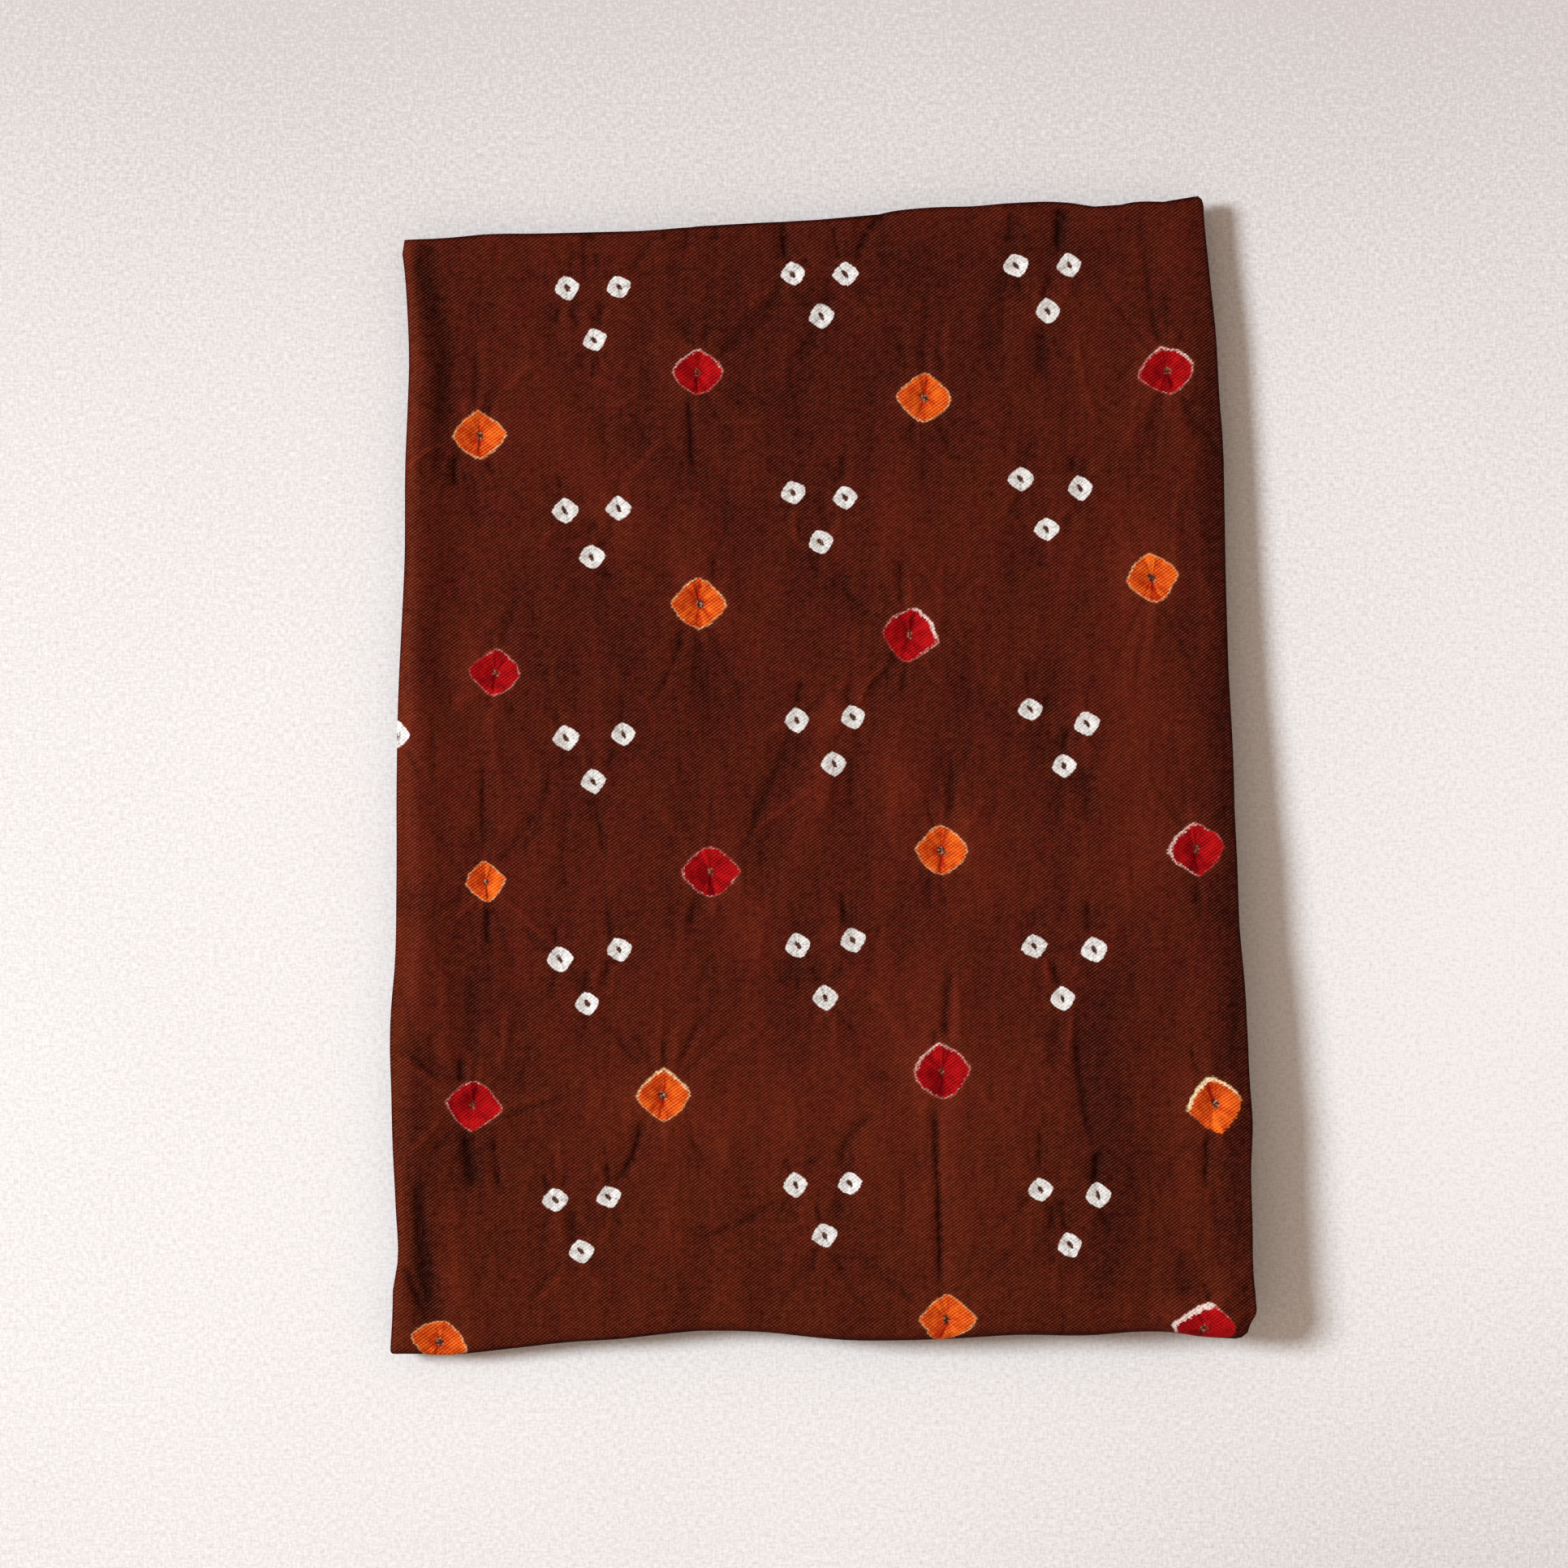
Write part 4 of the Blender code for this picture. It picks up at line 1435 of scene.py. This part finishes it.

# %% [markdown]
# ## The colours of the ties
# Small ties stay as white as the bleached cloth. Large ones were dyed orange or red
# before they were bound, so the colour sits inside a pale rim. At the middle a dark mark
# and a wisp of pale thread show where the binding was, and a folded line runs out of it to
# the rim, drawn as a dark line of painted shade with painted shade on one side. Painted
# shade also darkens a large dot's pit and its left half, and the pleats and gathers get
# painted light and shade.

# %% Colour the ties
WHITE_COTTON = linear(236, 233, 230)
GREY_COTTON = linear(144, 132, 124)
BRIGHT_ORANGE = linear(248, 116, 32)
DEEP_ORANGE = linear(168, 36, 12)
BRIGHT_RED = linear(198, 20, 22)
DEEP_RED = linear(106, 4, 10)
CREAM_RIM = linear(252, 234, 188)
DYED_CREAM = linear(190, 110, 56)
PINK_RIM = linear(250, 234, 226)
DYED_PINK = linear(164, 74, 62)
TIE_BROWN = linear(68, 35, 24)
PALE_THREAD = linear(178, 130, 104)
HALO_BROWN = linear(132, 56, 28)
in_patch = noise(vector(u, v, 4.0), 0.3, detail=2.0) - 0.5
p, q, _ = tie_place.xyz()
away = (p * p + q * q + 0.0004) ** 0.5
up_down = q * q / (away * away)
round_tie = vector(p / away * 1.5, q / away * 1.5, number * 30 + away * 0.3)
gathers = noise(round_tie, 1.6, detail=2.0, roughness=0.55) - 0.5
pleats = gathers * (up_down * 0.8 + 0.2)
arcs = away.math("SINE", away * 19 + number * 6 + (bend - 0.5) * 8)
# Painted shade that darkens the pit at a large dot's middle.
pit_shade = 1 - away.step(0.05, 0.5)
pinch_side = 1 - number.step(0.30, 0.31) * 2
pinch_q = q * pinch_side
pinch_p = (p + (bend - 0.5) * 0.9 * away + (fray - 0.5) * 0.12) / 0.07
pinch = (pinch_p * pinch_p * -1.0).math("EXPONENT", pinch_p * pinch_p * -1.0)
in_pinch = pinch_q.step(0.0, 0.15) * (1 - pinch_q.step(0.65, 1.0)) * is_large
pinch = pinch * in_pinch
# Painted shade on one side of the pinch line.
pinch_shade = pinch_p.step(-8.0, 0.0) * (1 - pinch_p.step(-0.2, 0.6)) * in_pinch
patch_tone = (
    0.40
    + (dash - 0.5) * 0.85
    # painted light and shade of the pleats
    + pleats * 1.9
    + arcs * 0.07 * (1 - p.step(-0.1, 0.5))
    + in_patch * 1.1
    # painted shade on the left half, lighter on the right
    + p * 0.12
    # painted shade in the pit
    - pit_shade * 0.22
    # dark pinch line: painted shade
    - pinch * 0.40
    - pinch_shade * 0.30
)
orange = patch_tone.mix(DEEP_ORANGE, BRIGHT_ORANGE)
red = patch_tone.mix(DEEP_RED, BRIGHT_RED)
patch = is_red.mix(orange, red)
# The gathers paint light and shade into the white rings too.
white = (0.72 + (dash - 0.5) * 0.45 + gathers * 1.7 + arcs * 0.10).mix(GREY_COTTON, WHITE_COTTON)
rim_tone = 0.24 - is_red * 0.12 + wide_rim * 0.6 + (dash - 0.5) * 0.6 + (fray - 0.5) * 1.8
rim_colour = is_red.mix(rim_tone.mix(DYED_CREAM, CREAM_RIM), rim_tone.mix(DYED_PINK, PINK_RIM))
bare = is_large.mix(white, rim_colour)

mark_size = 0.21 - is_large * 0.06
knot_p = (p + (bend - 0.5) * 0.4 + q * 0.25) / mark_size
knot_q = q / (mark_size * (1.7 - is_large * 0.45))
knot = 1 - (knot_p * knot_p + knot_q * knot_q + (fray - 0.5) * 3.0).step(0.5, 1.3)
knot = knot * (1 - is_red * 0.35)
wisp = noise(vector(u, v, 8.0), 1.1).step(0.50, 0.62) * (0.15 + is_large * 0.85)
knot_colour = wisp.mix(TIE_BROWN, PALE_THREAD)

halo = (1 - tie_edge.step(0.95, 1.25)) * 0.12
colour = halo.mix(ground, HALO_BROWN)
colour = tied.mix(colour, bare)
colour = coloured.mix(colour, patch)
colour = knot.mix(colour, knot_colour)
connect(shader, "Base Color", colour)
print("shader nodes with the colours:", len(material.node_tree.nodes))

# %% [markdown]
# ## The feel of the cloth
# Height in metres goes to one Bump node: the dashes of the weave, the uneven threads, the
# dark lines of the creases, and fine gathers that radiate from each tie, drawn as noise
# over the angle round it. Cotton is matt, with a faint warm sheen at grazing angles.

# %% Raise the weave and the gathers
SHARP_DEPTH = 0.9 * MM
KNOT_DEPTH = 0.15 * MM
PINCH_DEPTH = 0.3 * MM
GATHER_HEIGHT = 0.8 * MM
DASH_HEIGHT = 0.05 * MM
THREAD_HEIGHT = 0.04 * MM
SHEEN_BROWN = linear(160, 90, 60)
gather_window = away.step(0.02, 0.35) * (1 - away.step(0.8, 2.8))
gather_size = (0.5 + is_large) * GATHER_HEIGHT
weave_height = dash * DASH_HEIGHT + threads * THREAD_HEIGHT
height = pleats * gather_window * gather_size + weave_height
height = height - knot * KNOT_DEPTH - pinch * PINCH_DEPTH - sharp_crease * SHARP_DEPTH
bump = height.node("ShaderNodeBump", {"Strength": 1.0, "Distance": 1.0, "Height": height})
connect(shader, "Normal", bump)
connect(shader, "Roughness", 0.90 - (dash - 0.5) * 0.06 + streaks * 0.06)
shader.inputs["Metallic"].default_value = 0.0
shader.inputs["Specular IOR Level"].default_value = 0.03
shader.inputs["Sheen Weight"].default_value = 0.03
shader.inputs["Sheen Roughness"].default_value = 0.5
shader.inputs["Sheen Tint"].default_value = SHEEN_BROWN
mesh.materials.append(material)
print("shader nodes in all:", len(material.node_tree.nodes))

# %% [markdown]
# ## The floor
# The packet lies on a plain off-white ground with a fine weave. It only has to carry the
# shadow, so it is a flat sheet with faint threads and soft clouds. Painted shade makes it
# dimmer away from its brightest line, and most of all at the front right.

# %% Lay the floor
FLOOR_HALF = 1.6
FLOOR_DROP = 0.2 * MM
MM_PER_METRE = 1000
BRIGHTEST_Y = -110.0
DIM_REACH = 380.0
DIM_CORNER_X = (-20.0, 260.0)
DIM_CORNER_Y = (-290.0, -110.0)
FLOOR_THREAD_HEIGHT = 0.05 * MM
FLOOR_GREY = linear(205, 198, 196)
FLOOR_WHITE = linear(243, 240, 239)
floor_mesh = bpy.data.meshes.new("floor")
signs = [(-1, -1), (1, -1), (1, 1), (-1, 1)]
corners = [(FLOOR_HALF * x, FLOOR_HALF * y, -FLOOR_DROP) for x, y in signs]
floor_mesh.from_pydata(corners, [], [(0, 1, 2, 3)])
floor = bpy.data.objects.new("floor", floor_mesh)
bpy.context.scene.collection.objects.link(floor)
floor_material, floor_shader, floor_first = new_finish("pale floor")
x, y, _ = floor_first.xyz()
x, y = x * MM_PER_METRE, y * MM_PER_METRE
floor_threads = noise(vector(x * 1.3, y * 0.5, 0.0), 1.0) + noise(vector(x * 0.5, y * 1.3, 4.0), 1.0) - 1.0
floor_clouds = noise(vector(x, y, 2.0), 0.006, detail=2.0)
# Painted shade: darker away from the brightest line and at the front right.
from_brightest = (y - BRIGHTEST_Y) / DIM_REACH
painted_dimming = from_brightest * from_brightest
painted_corner_shade = x.step(*DIM_CORNER_X) * (1 - y.step(*DIM_CORNER_Y))
floor_tone = floor_threads * 1.2 + (floor_clouds - 0.5) * 0.25 + 0.85 - painted_dimming * 0.76 - painted_corner_shade * 0.35
floor_height = floor_threads * FLOOR_THREAD_HEIGHT
connect(floor_shader, "Base Color", floor_tone.mix(FLOOR_GREY, FLOOR_WHITE))
connect(floor_shader, "Normal", x.node("ShaderNodeBump", {"Strength": 1.0, "Height": floor_height}))
floor_shader.inputs["Roughness"].default_value = 0.95
floor_shader.inputs["Specular IOR Level"].default_value = 0.1
floor_mesh.materials.append(floor_material)
print("floor in m:", 2 * FLOOR_HALF)

# %% [markdown]
# ## Light and camera
# One soft lamp stands far off to the left and a little behind, a little under 40 degrees
# up, and a pale room fills the shadows. The camera looks straight down through a long lens, which
# keeps the packet's height from spreading its outline.

# %% Light the cloth and set the camera
LAMP_DISTANCE = 8.0
LAMP_ELEVATION = radians(38.5)
LAMP_AZIMUTH = radians(168)
LAMP_SIZE = 2.4
LAMP_POWER = 768
LAMP_COLOUR = (0.845, 0.935, 1.0)
FILL = 0.47
ROOM_COLOUR = (1.0, 0.80, 0.66, 1.0)
lamp_data = bpy.data.lights.new("window light", "AREA")
lamp_data.shape = "DISK"
lamp_data.size = LAMP_SIZE
lamp_data.energy = LAMP_POWER
lamp_data.color = LAMP_COLOUR
lamp = bpy.data.objects.new("window light", lamp_data)
level_reach = LAMP_DISTANCE * cos(LAMP_ELEVATION)
lamp_height = LAMP_DISTANCE * sin(LAMP_ELEVATION)
lamp.location = (level_reach * cos(LAMP_AZIMUTH), level_reach * sin(LAMP_AZIMUTH), lamp_height)
lamp.rotation_mode = "QUATERNION"
lamp.rotation_quaternion = lamp.location.to_track_quat("Z", "Y")
bpy.context.scene.collection.objects.link(lamp)

world = bpy.data.worlds.new("pale room")
world.use_nodes = True
background = world.node_tree.nodes["Background"]
background.inputs["Color"].default_value = ROOM_COLOUR
background.inputs["Strength"].default_value = FILL
bpy.context.scene.world = world
bpy.context.scene.view_settings.view_transform = "Standard"

FIELD = 531.3 * MM
FIELD_CENTRE = (-13.3 * MM, -3.2 * MM)
CLOTH_PLANE = 14 * MM
LENS = 150
SENSOR = 36
camera_data = bpy.data.cameras.new("camera above")
camera_data.lens = LENS
camera_data.sensor_width = SENSOR
camera_data.clip_start = 0.05
camera_data.clip_end = 20
camera = bpy.data.objects.new("camera above", camera_data)
camera.location = (*FIELD_CENTRE, CLOTH_PLANE + FIELD * LENS / SENSOR)
bpy.context.scene.collection.objects.link(camera)
bpy.context.scene.camera = camera
print("camera height in m:", round(camera.location.z, 3))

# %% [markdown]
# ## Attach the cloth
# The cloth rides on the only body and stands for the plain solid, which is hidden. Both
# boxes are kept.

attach(cloth, "root")
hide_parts("folded_cloth")
